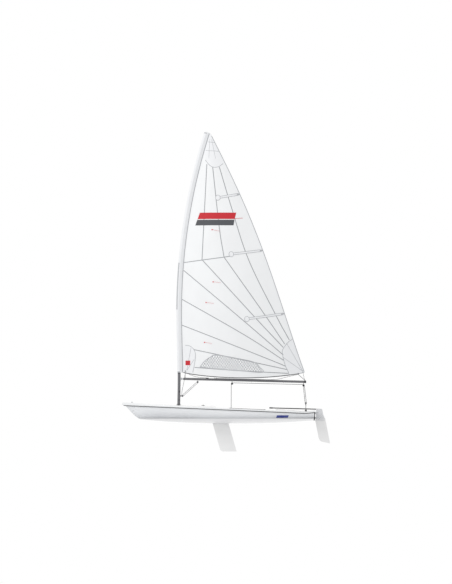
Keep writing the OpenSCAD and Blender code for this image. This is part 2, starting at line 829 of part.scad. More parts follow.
cleat_x = -330;
cleat_foot = [40, 60];
module deck_cleat() {
    color("dimgray") on_deck(cleat_x, 0, cleat_foot) {
        translate([-cleat_foot[0], -cleat_foot[1], 0])
            cube([2 * cleat_foot[0], 2 * cleat_foot[1], 4]);
        for (y = [-30, 30]) translate([0, y, 0]) {
            translate([-16, -9, 0]) cube([32, 18, 13]);
            cylinder(r = 7, h = 17);
        }
    }
}

rail_l = 760;
rail_x = 640;
rail_y = 330;
rail_lift = 1.2;
module grab_rails() {
    slope = atan((sheer_bow - sheer_stern) / loa);
    color("silver") for (side = [-1, 1]) translate([rail_x, side * rail_y,
            deck_z(rail_x, rail_y) + rail_lift]) rotate([0, slope, 0]) {
            translate([-rail_l / 2, -8, 0]) cube([rail_l, 16, 7]);
            for (end = [-1, 1]) translate([end * rail_l / 2, 0, 0]) cylinder(r = 14, h = 10);
        }
}

strap_z = 70;
module hiking_strap() {
    color("black") translate([well_front_x + fit, -25, floor_z + strap_z - 15])
        cube([well_back_x - well_front_x - 2 * fit, 50, 5]);
}

ratchet_x = 268;
module ratchet_block() {
    color("dimgray") translate([ratchet_x, 0, floor_z + fit]) {
        cylinder(r = 22, h = 6);
        cylinder(r = 8, h = strap_z - 30);
        translate([0, 45, 0]) cylinder(r = 8, h = 6);
    }
}

fairlead_y = 450;
fairlead_x = 1926;
fairlead_h = 30;
fairlead_foot = [20, 10];
fairlead_w = 14;
traveller_rope_d = 6;
module traveller_fairleads() {
    color("dimgray") for (side = [-1, 1]) on_deck(fairlead_x, side * fairlead_y, fairlead_foot)
        difference() {
            union() {
                translate([-fairlead_foot[0], -fairlead_foot[1], 0])
                    cube([2 * fairlead_foot[0], 2 * fairlead_foot[1], 5]);
                translate([-10, -fairlead_w / 2, 0]) cube([20, fairlead_w, fairlead_h + 9]);
            }
            translate([0, 0, fairlead_h]) rotate([90, 0, 0])
                cylinder(r = traveller_rope_d / 2 + 0.2, h = 60, center = true);
        }
}

traveller_z = 300;
module traveller_block() {
    color("dimgray") translate([fairlead_x, 0, traveller_z]) {
        translate([0, 0, 2 * block_r - 12]) block(block_r - 4);
        rotate([0, 0, 90]) block(block_r - 4);
    }
}

// The taut rope from each fairlead up to the block
module traveller_rope() {
    sheave_r = block_r - 8;
    low = seat_z(fairlead_x, fairlead_y, fairlead_foot) + fairlead_h;
    reach = fairlead_y - fairlead_w / 2 - fit;
    rise = traveller_z - sheave_r - traveller_rope_d / 2 - fit - low;
    lean = atan(rise / reach);
    color("navy") for (side = [-1, 1]) translate([fairlead_x, side * reach, low])
        rotate([side * (90 - lean), 0, 0]) cylinder(d = traveller_rope_d, h = reach / cos(lean) - 2);
    color("navy") translate([fairlead_x, 0, traveller_z - sheave_r - traveller_rope_d / 2 - fit])
        rotate([90, 0, 0]) cylinder(d = traveller_rope_d, h = 9, center = true);
}

module drain_plug() {
    color("black") translate([half_l + fit, 130, 20]) rotate([0, 90, 0]) {
        cylinder(r = 17, h = 4);
        cylinder(r = 12, h = 10);
        translate([-11, -3, 8]) cube([22, 6, 9]);
    }
}

module cockpit_bailer() {
    color("dimgray") translate([well_back_x - 130, 0, floor_z + fit]) difference() {
        translate([-45, -30, 0]) cube([90, 60, 5]);
        translate([-25, -15, -eps]) cube([50, 30, 10]);
    }
}

hull();
deck();
gunwale();
cockpit_tub();
daggerboard_trunk();
mast_step();
bow_eye();
deck_cleat();
grab_rails();
hiking_strap();
ratchet_block();
traveller_fairleads();
traveller_block();
traveller_rope();
transom_gudgeons();
drain_plug();
cockpit_bailer();
mast_heel_plug();
lower_mast();
upper_mast();
mast_collar();
masthead_cap();
gooseneck();
boom();
boom_end_caps();
boom_middle_block();
boom_end_block();
vang_mast_block();
vang_boom_block();
vang_rope();
sail_sleeve();
sail_body();
daggerboard();
daggerboard_head();
rudder_head();
rudder_pintles();
rudder_bolt();
rudder_blade();
tiller();
tiller_grip();
tiller_extension();
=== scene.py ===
"""Looks of a single-handed sailing dinghy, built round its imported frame.

Each sub-assembly is a class that holds its sizes in metres, builds its meshes in the row frame
(+X aft, +Y starboard, +Z up, origin amidships on the waterline) and dresses them with finishes.
"""

import functools
import json
import logging
from dataclasses import dataclass, field
from enum import Enum
from math import (atan2, ceil, copysign, cos, degrees, dist, floor, hypot, pi, radians, sin, sqrt,
                  tan, tau)
from typing import Callable, Iterable, Optional, Sequence, Union

import bmesh
import bpy
import numpy as np
from mathutils import Matrix, Vector


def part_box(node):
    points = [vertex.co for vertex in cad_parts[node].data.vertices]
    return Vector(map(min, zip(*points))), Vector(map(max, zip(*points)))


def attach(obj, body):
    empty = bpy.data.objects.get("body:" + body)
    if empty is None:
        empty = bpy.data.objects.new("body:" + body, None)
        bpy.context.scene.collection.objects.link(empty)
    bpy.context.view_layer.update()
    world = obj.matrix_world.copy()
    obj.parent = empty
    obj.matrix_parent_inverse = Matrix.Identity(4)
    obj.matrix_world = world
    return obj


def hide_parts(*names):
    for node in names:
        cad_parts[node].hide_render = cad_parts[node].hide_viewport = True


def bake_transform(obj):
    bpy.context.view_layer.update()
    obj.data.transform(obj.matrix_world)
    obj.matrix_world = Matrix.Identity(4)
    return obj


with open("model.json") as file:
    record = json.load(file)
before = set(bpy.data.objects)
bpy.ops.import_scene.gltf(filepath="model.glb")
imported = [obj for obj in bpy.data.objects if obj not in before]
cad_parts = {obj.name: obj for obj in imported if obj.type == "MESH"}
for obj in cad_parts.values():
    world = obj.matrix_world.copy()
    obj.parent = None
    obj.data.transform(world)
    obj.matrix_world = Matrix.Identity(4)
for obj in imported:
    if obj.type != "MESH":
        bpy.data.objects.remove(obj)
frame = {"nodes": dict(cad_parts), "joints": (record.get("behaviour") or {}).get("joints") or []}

LOG = logging.getLogger("dinghy")
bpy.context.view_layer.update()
Colour = tuple[float, float, float]
Plane = tuple[float, float]
Piece = bpy.types.Object
Socket = bpy.types.NodeSocket
Number = Union[float, "Value"]


# ---- shader maths ------------------------------------------------------------------------------
def operator(operation: str, reflected: bool = False) -> Callable[..., "Value"]:
    """Makes a method that adds one Math node.

    Args:
        operation: the Math node's operation.
        reflected: whether the value itself is the node's second number.

    Returns:
        The method, which takes the other number where the operation has two.
    """
    def method(self: "Value", other: Number = 0.0) -> "Value":
        """Returns the operation's result."""
        first, second = (other, self) if reflected else (self, other)
        made = self.shader.node("ShaderNodeMath", {"operation": operation}, {0: first, 1: second})
        return Value(self.shader, made.outputs[0])
    return method


class Value:
    """A socket that carries a number, with arithmetic that adds Math nodes to its tree."""

    __add__, __radd__ = operator("ADD"), operator("ADD", True)
    __sub__, __rsub__ = operator("SUBTRACT"), operator("SUBTRACT", True)
    __mul__, __rmul__ = operator("MULTIPLY"), operator("MULTIPLY", True)
    __pow__, __abs__ = operator("POWER"), operator("ABSOLUTE")
    __gt__, __lt__ = operator("GREATER_THAN"), operator("LESS_THAN")
    sine, fract, most = operator("SINE"), operator("FRACT"), operator("MAXIMUM")

    def __init__(self, shader: "Shader", socket: Socket) -> None:
        """Wraps an output socket of a shader's tree."""
        self.shader = shader
        self.socket = socket

    def ramp(self, low: float, high: float) -> "Value":
        """Returns self spread smoothly over 0 to 1, from low to high, and held there."""
        made = self.shader.node("ShaderNodeMapRange", {"interpolation_type": "SMOOTHSTEP"},
                                {"Value": self, "From Min": low, "From Max": high})
        return Value(self.shader, made.outputs["Result"])


class Shader:
    """A material's node tree, built one node at a time."""

    def __init__(self, name: str) -> None:
        """Starts an empty tree.

        Args:
            name: the material's name.
        """
        self.material = bpy.data.materials.new(name)
        self.material.use_nodes = True
        self.tree = self.material.node_tree
        self.tree.nodes.clear()
        self.out = self.node("ShaderNodeOutputMaterial")

    def node(self, kind: str, settings: Optional[dict] = None,
             inputs: Optional[dict] = None) -> bpy.types.Node:
        """Adds a node.

        Args:
            kind: the node's type.
            settings: properties of the node, set before its sockets.
            inputs: what each socket gets, by name or number: a value, a Value or a socket.

        Returns:
            The new node.
        """
        made = self.tree.nodes.new(kind)
        for key, value in (settings or {}).items():
            setattr(made, key, value)
        for key, value in (inputs or {}).items():
            if isinstance(value, Value):
                value = value.socket
            if isinstance(value, Socket):
                self.tree.links.new(value, made.inputs[key])
            else:
                made.inputs[key].default_value = value
        return made

    def place(self) -> Socket:
        """Returns the point of the surface in the row frame, in metres."""
        return self.node("ShaderNodeTexCoord").outputs["Object"]

    def axes(self, point: Socket) -> tuple[Value, Value, Value]:
        """Returns the X, Y and Z of a point."""
        made = self.node("ShaderNodeSeparateXYZ", None, {0: point})
        return tuple(Value(self, output) for output in made.outputs)

    def along(self) -> tuple[Value, Value]:
        """Returns the surface's own two measures, in metres round it and along it."""
        uv = self.node("ShaderNodeUVMap", {"uv_map": "UVMap"}).outputs[0]
        return self.axes(uv)[:2]

    def stretched(self, scale: tuple[float, float, float]) -> Socket:
        """Returns the place of the surface with each axis scaled, for streaks."""
        made = self.node("ShaderNodeVectorMath", {"operation": "MULTIPLY"},
                         {0: self.place(), 1: scale})
        return made.outputs[0]

    def noise(self, scale: float, detail: float = 3.0,
              point: Optional[Socket] = None) -> Value:
        """Returns a noise about 0.5, with scale bumps a metre and detail octaves, at a point."""
        made = self.node("ShaderNodeTexNoise", None, {
            "Vector": point or self.place(), "Scale": scale, "Detail": detail})
        return Value(self, made.outputs["Fac"])

    def blend(self, share: Number, first: object, second: object) -> Socket:
        """Mixes two colours.

        Args:
            share: how much of the second colour shows.
            first: a colour or a socket.
            second: a colour or a socket.

        Returns:
            The mixed colour.
        """
        pair = [c if isinstance(c, Socket) else (*c, 1.0) for c in (first, second)]
        made = self.node("ShaderNodeMix", {"data_type": "RGBA"}, {0: share, 6: pair[0], 7: pair[1]})
        return made.outputs[2]

    def bump(self, height: Value, distance: float,
             under: Optional[Socket] = None) -> Socket:
        """Turns a height into a normal.

        Args:
            height: the height, from 0 to 1.
            distance: what 1 stands for, in metres.
            under: a normal that this one is added to.

        Returns:
            The bumped normal.
        """
        sockets = {"Height": height, "Distance": distance, "Strength": 1.0}
        if under is not None:
            sockets["Normal"] = under
        return self.node("ShaderNodeBump", None, sockets).outputs[0]

    def finish(self, **sockets: object) -> bpy.types.Material:
        """Ends the tree in one principled surface.

        Args:
            sockets: what its sockets get, with _ for each space in their names.

        Returns:
            The finished material.
        """
        inputs = {key.replace("_", " "): value for key, value in sockets.items()}
        for key in ("Base Color", "Sheen Tint"):
            if isinstance(inputs.get(key), tuple):
                inputs[key] = (*inputs[key], 1.0)
        surface = self.node("ShaderNodeBsdfPrincipled", None, inputs)
        self.tree.links.new(surface.outputs[0], self.out.inputs["Surface"])
        return self.material


def linear(red: int, green: int, blue: int) -> Colour:
    """Returns the linear colour of a display colour whose parts run from 0 to 255."""
    return tuple((c / 255 / 12.92) if c <= 10 else ((c / 255 + 0.055) / 1.055) ** 2.4
                 for c in (red, green, blue))


def shade(colour: Colour, share: float) -> Colour:
    """Returns a colour multiplied by share."""
    return tuple(c * share for c in colour)


# ---- finishes ----------------------------------------------------------------------------------
@dataclass(frozen=True)
class Finish:
    """A surface finish, the record's slot that it belongs to, and its colour."""

    name: str
    slot: str
    colour: Colour

    def look(self, shader: Shader) -> dict[str, object]:
        """Returns what the surface's sockets get."""
        raise NotImplementedError

    @functools.cache
    def material(self) -> bpy.types.Material:
        """Returns the finish as a material, which is made once."""
        shader = Shader(self.name)
        return shader.finish(**self.look(shader))


class Grip(Enum):
    """Where a moulded surface has its non-slip pattern."""

    NONE = "none"
    DECK = "deck"
    FLOOR = "floor"


@dataclass(frozen=True)
class GelCoat(Finish):
    """Glossy moulded surface: faint orange peel, fine scuffs, non-slip pattern with painted shade
    in its grooves.
    """

    roughness: float = 0.22
    grip: Grip = Grip.NONE
    grip_pitch: float = 0.0065
    scuff: float = 0.05

    def _grip_area(self, shader: Shader) -> Value:
        """Returns 1 where the non-slip pattern lies on the deck or floor, and 0 elsewhere."""
        x, y, z = shader.axes(shader.place())
        if self.grip is Grip.FLOOR:
            return (z < 0.0165) * (x > 0.26) * (x < 1.17) * (abs(y) < 0.17)
        side = (abs(y) > 0.345) * (abs(y) < 0.6) * (x > 0.02) * (x < 1.2)
        aft = (abs(y) < 0.38) * (x > 1.34) * (x < 1.84)
        fore = (abs(y) < 0.3 + 0.14 * x) * (x < -1.05) * (x > -1.6)
        return side.most(aft).most(fore)

    def look(self, shader: Shader) -> dict[str, object]:
        """Returns what the surface's sockets get."""
        cloud, peel = shader.noise(2.3, 4.0), shader.noise(260.0, 1.0)
        marks = shader.noise(34.0, 6.0, shader.stretched((0.12, 1.0, 1.0))).ramp(0.6, 0.72)
        normal = shader.bump(peel, 0.00012)
        rough = self.roughness + marks * 0.2 + (cloud - 0.5) * 0.08
        colour = shader.blend(cloud.ramp(0.25, 0.75), shade(self.colour, 0.975), self.colour)
        colour = shader.blend(marks * self.scuff, colour, shade(self.colour, 0.72))
        if self.grip is not Grip.NONE:
            x, y, _ = shader.axes(shader.place())
            turn = tau / self.grip_pitch / 2
            rows = abs(((x + y) * turn).sine()) * abs(((x - y) * turn).sine())
            area = self._grip_area(shader)
            normal = shader.bump(rows.ramp(0.25, 0.6) * area, 0.0006, normal)
            rough = rough + area * 0.28
            # Painted shade: the non-slip pattern's grooves, where its bump is low, are painted up
            # to 6% darker.
            colour = shader.blend(area * 0.5 * (1 - rows), colour, shade(self.colour, 0.88))
        return dict(Base_Color=colour, Roughness=rough, Normal=normal, IOR=1.5, Coat_Weight=0.35,
                    Coat_Roughness=0.08)


@dataclass(frozen=True)
class Moulding(Finish):
    """Matt moulded plastic or rubber with a fine grain and paler rubbed places."""

    roughness: float = 0.5

    def look(self, shader: Shader) -> dict[str, object]:
        """Returns what the surface's sockets get."""
        grain = shader.noise(1500.0, 2.0)
        rub = shader.noise(60.0, 5.0).ramp(0.52, 0.72)
        worn = tuple(c + 0.05 for c in self.colour)
        return dict(Base_Color=shader.blend(rub * 0.5, self.colour, worn),
                    Roughness=self.roughness - rub * 0.1 + (grain - 0.5) * 0.12,
                    Normal=shader.bump(grain, 0.00008), IOR=1.46)


class Grain(Enum):
    """The way that a drawn metal's streaks run, as the scale of the noise along each axis."""

    UPRIGHT = (1.0, 1.0, 0.012)
    FORE_AFT = (0.012, 1.0, 1.0)
    ALL_ROUND = (1.0, 1.0, 1.0)


@dataclass(frozen=True)
class DrawnMetal(Finish):
    """Anodised or bare metal with streaks, a cloudy sheen and scratches along it."""

    grain: Grain = Grain.ALL_ROUND
    metallic: float = 1.0
    roughness: float = 0.36
    coat: float = 0.0

    def look(self, shader: Shader) -> dict[str, object]:
        """Returns what the surface's sockets get."""
        streaks = shader.noise(900.0, 3.0, shader.stretched(self.grain.value))
        cloud = shader.noise(7.0, 4.0)
        scratch = shader.noise(120.0, 2.0, shader.stretched(self.grain.value)).ramp(0.66, 0.7)
        colour = shader.blend(streaks.ramp(0.3, 0.7), shade(self.colour, 0.9), self.colour)
        return dict(Base_Color=shader.blend(scratch * 0.35, colour, shade(self.colour, 1.2)),
                    Metallic=self.metallic,
                    Roughness=self.roughness + (cloud - 0.5) * 0.14 + scratch * 0.12,
                    Normal=shader.bump(streaks, 0.00004), Coat_Weight=self.coat)


@dataclass(frozen=True)
class Cloth(Finish):
    """Crisp woven polyester: a fine square weave, soft creases with painted shade in their dips,
    and a faint sheen.
    """

    thread: float = 0.0012
    crease: float = 0.002
    roughness: float = 0.62

    def look(self, shader: Shader) -> dict[str, object]:
        """Returns what the surface's sockets get."""
        x, _, z = shader.axes(shader.place())
        turn = tau / self.thread
        weave = (x * turn).sine() * (z * turn).sine() * 0.5 + 0.5
        crease = shader.noise(3.4, 5.0, shader.stretched((1.0, 1.0, 0.55)))
        fine = shader.noise(16.0, 3.0)
        normal = shader.bump(fine, self.crease * 0.15, shader.bump(crease, self.crease))
        # Painted shade: the dips of the crease bump are painted up to 2.5% darker.
        colour = shader.blend(crease.ramp(0.3, 0.7), shade(self.colour, 0.975), self.colour)
        return dict(Base_Color=shader.blend(weave * 0.06, colour, shade(self.colour, 0.8)),
                    Roughness=self.roughness + (fine - 0.5) * 0.1, IOR=1.45, Sheen_Weight=0.15,
                    Sheen_Roughness=0.4, Normal=shader.bump(weave, 0.00006, normal))


@dataclass(frozen=True)
class Tape(Finish):
    """Sewn tape or seam: woven, with two rows of zigzag stitches along it."""

    stitch: Colour
    width: float

    def look(self, shader: Shader) -> dict[str, object]:
        """Returns what the surface's sockets get."""
        across, along = shader.along()
        zigzag = abs((along * (1 / 0.012)).fract() - 0.5) * 0.004
        near, far = (1 - abs(across - zigzag - (self.width * share - 0.001)).ramp(0.0005, 0.0011)
                     for share in (0.3, 0.7))
        stitches = near.most(far)
        weave = ((along + across) * (tau / 0.0016)).sine() * 0.5 + 0.5
        return dict(Base_Color=shader.blend(stitches * 0.7, self.colour, self.stitch),
                    Roughness=0.6 + stitches * 0.15,
                    Normal=shader.bump(stitches, 0.0003, shader.bump(weave, 0.00005)))


@dataclass(frozen=True)
class Braid(Finish):
    """Braided rope: flecked strands that cross in two directions, with painted shade between them.
    """

    fleck: Colour
    pitch: float = 0.009
    girth: float = 0.025

    def look(self, shader: Shader) -> dict[str, object]:
        """Returns what the surface's sockets get."""
        across, along = shader.along()
        round_turn, long_turn = tau / self.girth * 4, tau / self.pitch
        left = ((across * round_turn) + (along * long_turn)).sine()
        right = ((across * round_turn) - (along * long_turn)).sine()
        strands = (left * right) * 0.5 + 0.5
        fleck = ((across * (round_turn / 4)) + (along * (long_turn / 6))).sine().ramp(0.5, 0.75)
        fuzz = shader.noise(2200.0, 2.0)
        # Painted shade: the gaps between the strands, where their bump is low, are painted down to
        # half the colour.
        colour = shader.blend(strands.ramp(0.1, 0.6), shade(self.colour, 0.5), self.colour)
        return dict(Base_Color=shader.blend(fleck * 0.6, colour, self.fleck),
                    Roughness=0.72 + fuzz * 0.15, Sheen_Weight=0.2,
                    Normal=shader.bump(strands + fuzz * 0.3, 0.0006))


@dataclass(frozen=True)
class Webbing(Finish):
    """Flat woven strap with ribs across it, with painted shade in the grooves of its weave."""

    rib: float = 0.0022

    def look(self, shader: Shader) -> dict[str, object]:
        """Returns what the surface's sockets get."""
        x, y, _ = shader.axes(shader.place())
        ribs = (x * (tau / self.rib)).sine() * 0.5 + 0.5
        weave = ribs * ((y * (tau / self.rib / 0.7)).sine() * 0.5 + 0.5)
        wear = shader.noise(45.0, 5.0).ramp(0.45, 0.8)
        # Painted shade: the grooves of the weave, where its bump is low, are painted down to 0.55
        # of the colour.
        colour = shader.blend(weave, shade(self.colour, 0.55), self.colour)
        faded = tuple(c + 0.08 for c in self.colour)
        return dict(Base_Color=shader.blend(wear * 0.3, colour, faded),
                    Roughness=0.8 + wear * 0.1, Normal=shader.bump(weave, 0.0005),
                    Sheen_Weight=0.3)


@dataclass(frozen=True)
class Film(Finish):
    """Clear sail window film, faintly tinted and cloudy, seen through."""

    alpha: float = 0.3

    def look(self, shader: Shader) -> dict[str, object]:
        """Returns what the surface's sockets get."""
        haze = shader.noise(9.0, 4.0)
        return dict(Base_Color=shader.blend(haze, self.colour, shade(self.colour, 0.9)),
                    Alpha=self.alpha + (haze - 0.5) * 0.12, Roughness=0.14 + haze * 0.1,
                    Normal=shader.bump(haze, 0.0015), IOR=1.5)


WHITE_HULL = GelCoat("hull_gelcoat", "hull_gelcoat", linear(241, 242, 244))
WHITE_DECK = GelCoat("deck_gelcoat", "deck_gelcoat", linear(246, 246, 246), 0.3, Grip.DECK)
WHITE_TUB = GelCoat("tub_gelcoat", "deck_gelcoat", linear(243, 243, 243), 0.3, Grip.FLOOR)
WHITE_EDGE = GelCoat("gunwale_gelcoat", "gunwale_gelcoat", linear(242, 243, 244), scuff=0.12)
WHITE_FOIL = GelCoat("foil_gelcoat", "foil_gelcoat", linear(246, 246, 246), 0.18, scuff=0.08)
WHITE_CAST = DrawnMetal("rudder_casting", "rudder_casting", linear(226, 227, 229), metallic=0.25,
                        roughness=0.42)
BLACK_TRIM = Moulding("black_rubber", "moulded_plastic", linear(26, 26, 28), 0.55)
BLACK_MOULD = Moulding("black_moulding", "moulded_plastic", linear(34, 34, 37), 0.46)
GREY_MOULD = Moulding("grey_moulding", "moulded_plastic", linear(70, 71, 74), 0.42)
BLUE_STRIPE = GelCoat("blue_stripe", "hull_gelcoat", linear(52, 66, 150), 0.3)
SPAR_UP = DrawnMetal("spar_upright", "anodised_alloy", linear(122, 122, 125), Grain.UPRIGHT, 0.75,
                     0.42)
SPAR_LONG = DrawnMetal("spar_fore_aft", "anodised_alloy", linear(122, 122, 125), Grain.FORE_AFT,
                       0.75, 0.42)
DARK_SPAR = DrawnMetal("dark_spar", "anodised_alloy", linear(28, 28, 30), Grain.FORE_AFT, 0.5,
                       0.38, 0.3)
STEEL = DrawnMetal("polished_steel", "stainless", linear(196, 198, 201), roughness=0.22)
DARK_BOLT = DrawnMetal("screw_steel", "stainless", linear(150, 151, 154), roughness=0.3)
SAIL = Cloth("sailcloth", "sailcloth", linear(243, 244, 245))
SLEEVE = Cloth("sleeve_cloth", "sailcloth", linear(238, 239, 241), crease=0.0012)
PATCH = Cloth("patch_cloth", "sailcloth", linear(240, 241, 243), crease=0.0006)
POCKET = Cloth("pocket_cloth", "sailcloth", linear(239, 240, 242), crease=0.0004)
RED_CLOTH = Cloth("red_cloth", "sailcloth", linear(200, 38, 48), crease=0.0003)
GREY_CLOTH = Cloth("grey_cloth", "sailcloth", linear(82, 84, 88), crease=0.0003)
SEAM = Tape("seam_tape", "sailcloth", linear(168, 170, 173), linear(120, 122, 126), 0.018)
EDGE_TAPE = Tape("edge_tape", "sailcloth", linear(186, 188, 191), linear(130, 132, 136), 0.016)
FOOT_TAPE = Tape("foot_tape", "sailcloth", linear(52, 53, 56), linear(120, 120, 122), 0.016)
ROPE = Braid("sheet_rope", "rope", linear(14, 14, 16), linear(60, 62, 70))
LINE = Braid("control_line", "rope", linear(16, 16, 20), linear(64, 67, 82), 0.006, 0.016)
YARN = Cloth("red_yarn", "sailcloth", linear(206, 44, 50), 0.0008, 0.0002)
STRAP = Webbing("strap_webbing", "webbing", linear(42, 42, 46))
WINDOW = Film("window_film", "sailcloth", linear(240, 243, 246))
SCRIM = Moulding("window_scrim", "sailcloth", linear(84, 87, 92), 0.5)


# ---- meshes ------------------------------------------------------------------------------------
def xyz(x: float, y: float, z: float) -> Vector:
    """Returns a place or a direction."""
    return Vector((x, y, z))


AFT, STARBOARD, UP = xyz(1, 0, 0), xyz(0, 1, 0), xyz(0, 0, 1)


def mix(first: float, second: float, share: float) -> float:
    """Returns the number that lies share of the way from first to second."""
    return first + (second - first) * share


def smooth(share: float) -> float:
    """Returns share, held within 0 and 1, with a soft start and end."""
    share = min(1.0, max(0.0, share))
    return share * share * (3 - 2 * share)


def turns(steps: int, count: Optional[int] = None) -> list[float]:
    """Returns angles that go up by a turn's share, count of them or enough for one turn."""
    return [tau * k / steps for k in range(count or steps)]


def between(start: Vector, end: Vector, steps: int) -> list[Vector]:
    """Returns places in even steps after start, the last of them at end."""
    return [start.lerp(end, k / steps) for k in range(1, steps + 1)]


def centre_of(node: str) -> Vector:
    """Returns the middle of a frame node's box."""
    low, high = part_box(node)
    return (low + high) / 2


def rounded(points: Sequence[Vector], step: float) -> list[Vector]:
    """Runs a smooth curve through points.

    Args:
        points: the points, from end to end.
        step: about how far apart the curve's own points lie, in metres.

    Returns:
        The curve's points.
    """
    ends = [2 * points[0] - points[1], *points, 2 * points[-1] - points[-2]]
    curve: list[Vector] = []
    for before, start, end, after in zip(ends, ends[1:], ends[2:], ends[3:]):
        count = max(1, round((end - start).length / step))
        for t in (k / count for k in range(count)):
            curve.append(0.5 * (2 * start + (end - before) * t
                                + (2 * before - 5 * start + 4 * end - after) * t ** 2
                                + (3 * start - before - 3 * end + after) * t ** 3))
    return [*curve, points[-1].copy()]


def settle(mesh: bmesh.types.BMesh, gap: float, keep: float) -> None:
    """Joins a mesh's doubled points, and smooths it but for its sharp edges.

    Args:
        mesh: the mesh.
        gap: points closer than this are joined.
        keep: edges sharper than this many degrees stay sharp.
    """
    bmesh.ops.remove_doubles(mesh, verts=mesh.verts, dist=gap)
    bmesh.ops.dissolve_degenerate(mesh, edges=mesh.edges, dist=gap)
    bmesh.ops.recalc_face_normals(mesh, faces=mesh.faces)
    for face in mesh.faces:
        face.smooth = True
        face.material_index = 0
    for edge in mesh.edges:
        edge.smooth = len(edge.link_faces) != 2 or edge.calc_face_angle(0) < radians(keep)


class Form:
    """A mesh that grows shape by shape and then becomes one piece."""

    def __init__(self, name: str) -> None:
        """Starts an empty mesh with the piece's name."""
        self.name = name
        self.mesh = bmesh.new()
        self.uv = self.mesh.loops.layers.uv.new("UVMap")

    def lattice(self, rows: Sequence[Sequence[Vector]], ring: bool = False, caps: bool = False,
                measure: bool = False, flip: bool = False) -> list[list[bmesh.types.BMVert]]:
        """Skins rows of points.

        Args:
            rows: rows of points, each as long as the others.
            ring: whether each row closes on itself.
            caps: whether the first and last rows are closed with a face.
            measure: whether the UVs run in metres, across each row and along the rows.
            flip: whether the faces look the other way.

        Returns:
            The vertices, row by row.
        """
        made = [[self.mesh.verts.new(p) for p in row] for row in rows]
        width = len(rows[0])
        along = 0.0
        for i in range(len(rows) - 1):
            step = (rows[i + 1][0] - rows[i][0]).length if measure else 0.0
            across = 0.0
            for j in range(width if ring else width - 1):
                k = (j + 1) % width
                side = (rows[i][k] - rows[i][j]).length if measure else 0.0
                corners = [made[i][j], made[i][k], made[i + 1][k], made[i + 1][j]]
                marks = [(across, along), (across + side, along), (across + side, along + step),
                         (across, along + step)]
                across += side
                if flip:
                    corners, marks = corners[::-1], marks[::-1]
                if len(set(corners)) == 4 and not self.mesh.faces.get(corners):
                    for loop, mark in zip(self.mesh.faces.new(corners).loops, marks):
                        loop[self.uv].uv = mark
            along += step
        if caps:
            self.mesh.faces.new(made[0][::-1])
            self.mesh.faces.new(made[-1])
        return made

    def bridge(self, first: Sequence[bmesh.types.BMVert],
               second: Sequence[bmesh.types.BMVert]) -> None:
        """Joins two rings of as many vertices with a ring of faces."""
        for j in range(len(first)):
            k = (j + 1) % len(first)
            self.mesh.faces.new([first[j], first[k], second[k], second[j]])

    def sweep(self, path: Sequence[Vector], radius: float, sides: int = 12, caps: bool = True,
              flat: float = 1.0, up: Vector = UP) -> None:
        """Sweeps a round or oval section along a path.

        Args:
            path: the path's points.
            radius: the section's radius.
            sides: how many sides the section has.
            caps: whether the ends are closed.
            flat: how thick the section is as a share of its width.
            up: which way the thin side faces at the start.
        """
        last = len(path) - 1
        tangents = [(path[min(i + 1, last)] - path[max(i - 1, 0)]).normalized()
                    for i in range(last + 1)]
        normal = up - tangents[0] * up.dot(tangents[0])
        if normal.length < 1e-4:
            normal = tangents[0].orthogonal()
        rows = []
        for point, tangent in zip(path, tangents):
            normal = (normal - tangent * normal.dot(tangent)).normalized()
            side = tangent.cross(normal)
            rows.append([point + side * (radius * cos(a)) + normal * (radius * flat * sin(a))
                         for a in turns(sides)])
        self.lattice(rows, ring=True, caps=caps, measure=True)

    def turn(self, profile: Sequence[Plane], centre: Vector, axis: Vector, steps: int = 32) -> None:
        """Turns a profile about an axis.

        Args:
            profile: points of distance along the axis and radius.
            centre: where the axis starts.
            axis: its direction.
            steps: how many steps go round.
        """
        axis = axis.normalized()
        side = axis.orthogonal().normalized()
        other = axis.cross(side)
        made = self.lattice([[centre + axis * d + (side * cos(a) + other * sin(a)) * r
                              for a in turns(steps)] for d, r in profile], ring=True, measure=True)
        for ring, (_, r) in ((made[0][::-1], profile[0]), (made[-1], profile[-1])):
            if r > 1e-6:
                self.mesh.faces.new(ring)

    def slab(self, outline: Sequence[Vector], depth: Vector) -> None:
        """Pushes a flat outline through a depth."""
        self.lattice([outline, [p + depth for p in outline]], ring=True, caps=True)

    def block(self, place: Matrix, length: float, width: float, height: float) -> None:
        """Adds a block of a size, moved and leant by a matrix."""
        bmesh.ops.create_cube(self.mesh, size=1.0)
        self.mesh.transform(place @ Matrix.Diagonal((length, width, height, 1.0)))

    def crease(self, width: float, angle: float = 40.0) -> None:
        """Rounds every edge that is sharper than an angle in degrees, to a width."""
        bmesh.ops.remove_doubles(self.mesh, verts=self.mesh.verts, dist=1e-6)
        bmesh.ops.recalc_face_normals(self.mesh, faces=self.mesh.faces)
        sharp = [e for e in self.mesh.edges
                 if len(e.link_faces) == 2 and e.calc_face_angle(0) > radians(angle)]
        bmesh.ops.bevel(self.mesh, geom=sharp, offset=width, segments=2, profile=0.6,
                        affect="EDGES", clamp_overlap=True)

    def screw(self, place: Vector, axis: Vector, radius: float = 0.0042) -> None:
        """Adds a domed screw head with a socket in it, seated at a place and facing along axis."""
        dome = [(-0.001, radius), (0.0, radius)]
        dome += [(radius * 0.5 * sin(a), radius * (0.5 + 0.5 * cos(a)))
                 for a in (radians(d) for d in (30, 60, 90))]
        dome += [(radius * d, radius * r) for d, r in ((0.5, 0.36), (0.15, 0.34), (0.15, 0.0))]
        self.turn(dome, place, axis, 16)

    def shape(self, keep: float = 40.0) -> Piece:
        """Turns the mesh into an object whose edges above keep degrees stay sharp."""
        settle(self.mesh, 1e-6, keep)
        data = bpy.data.meshes.new(self.name)
        self.mesh.to_mesh(data)
        self.mesh.free()
        made = bpy.data.objects.new(self.name, data)
        bpy.context.scene.collection.objects.link(made)
        return made

    def done(self, finish: Finish, keep: float = 40.0) -> Piece:
        """Turns the mesh into a piece with a finish, sharp at edges above keep degrees."""
        made = self.shape(keep)
        made.data.materials.append(finish.material())
        LOG.info("%s: %d faces", self.name, len(made.data.polygons))
        return made


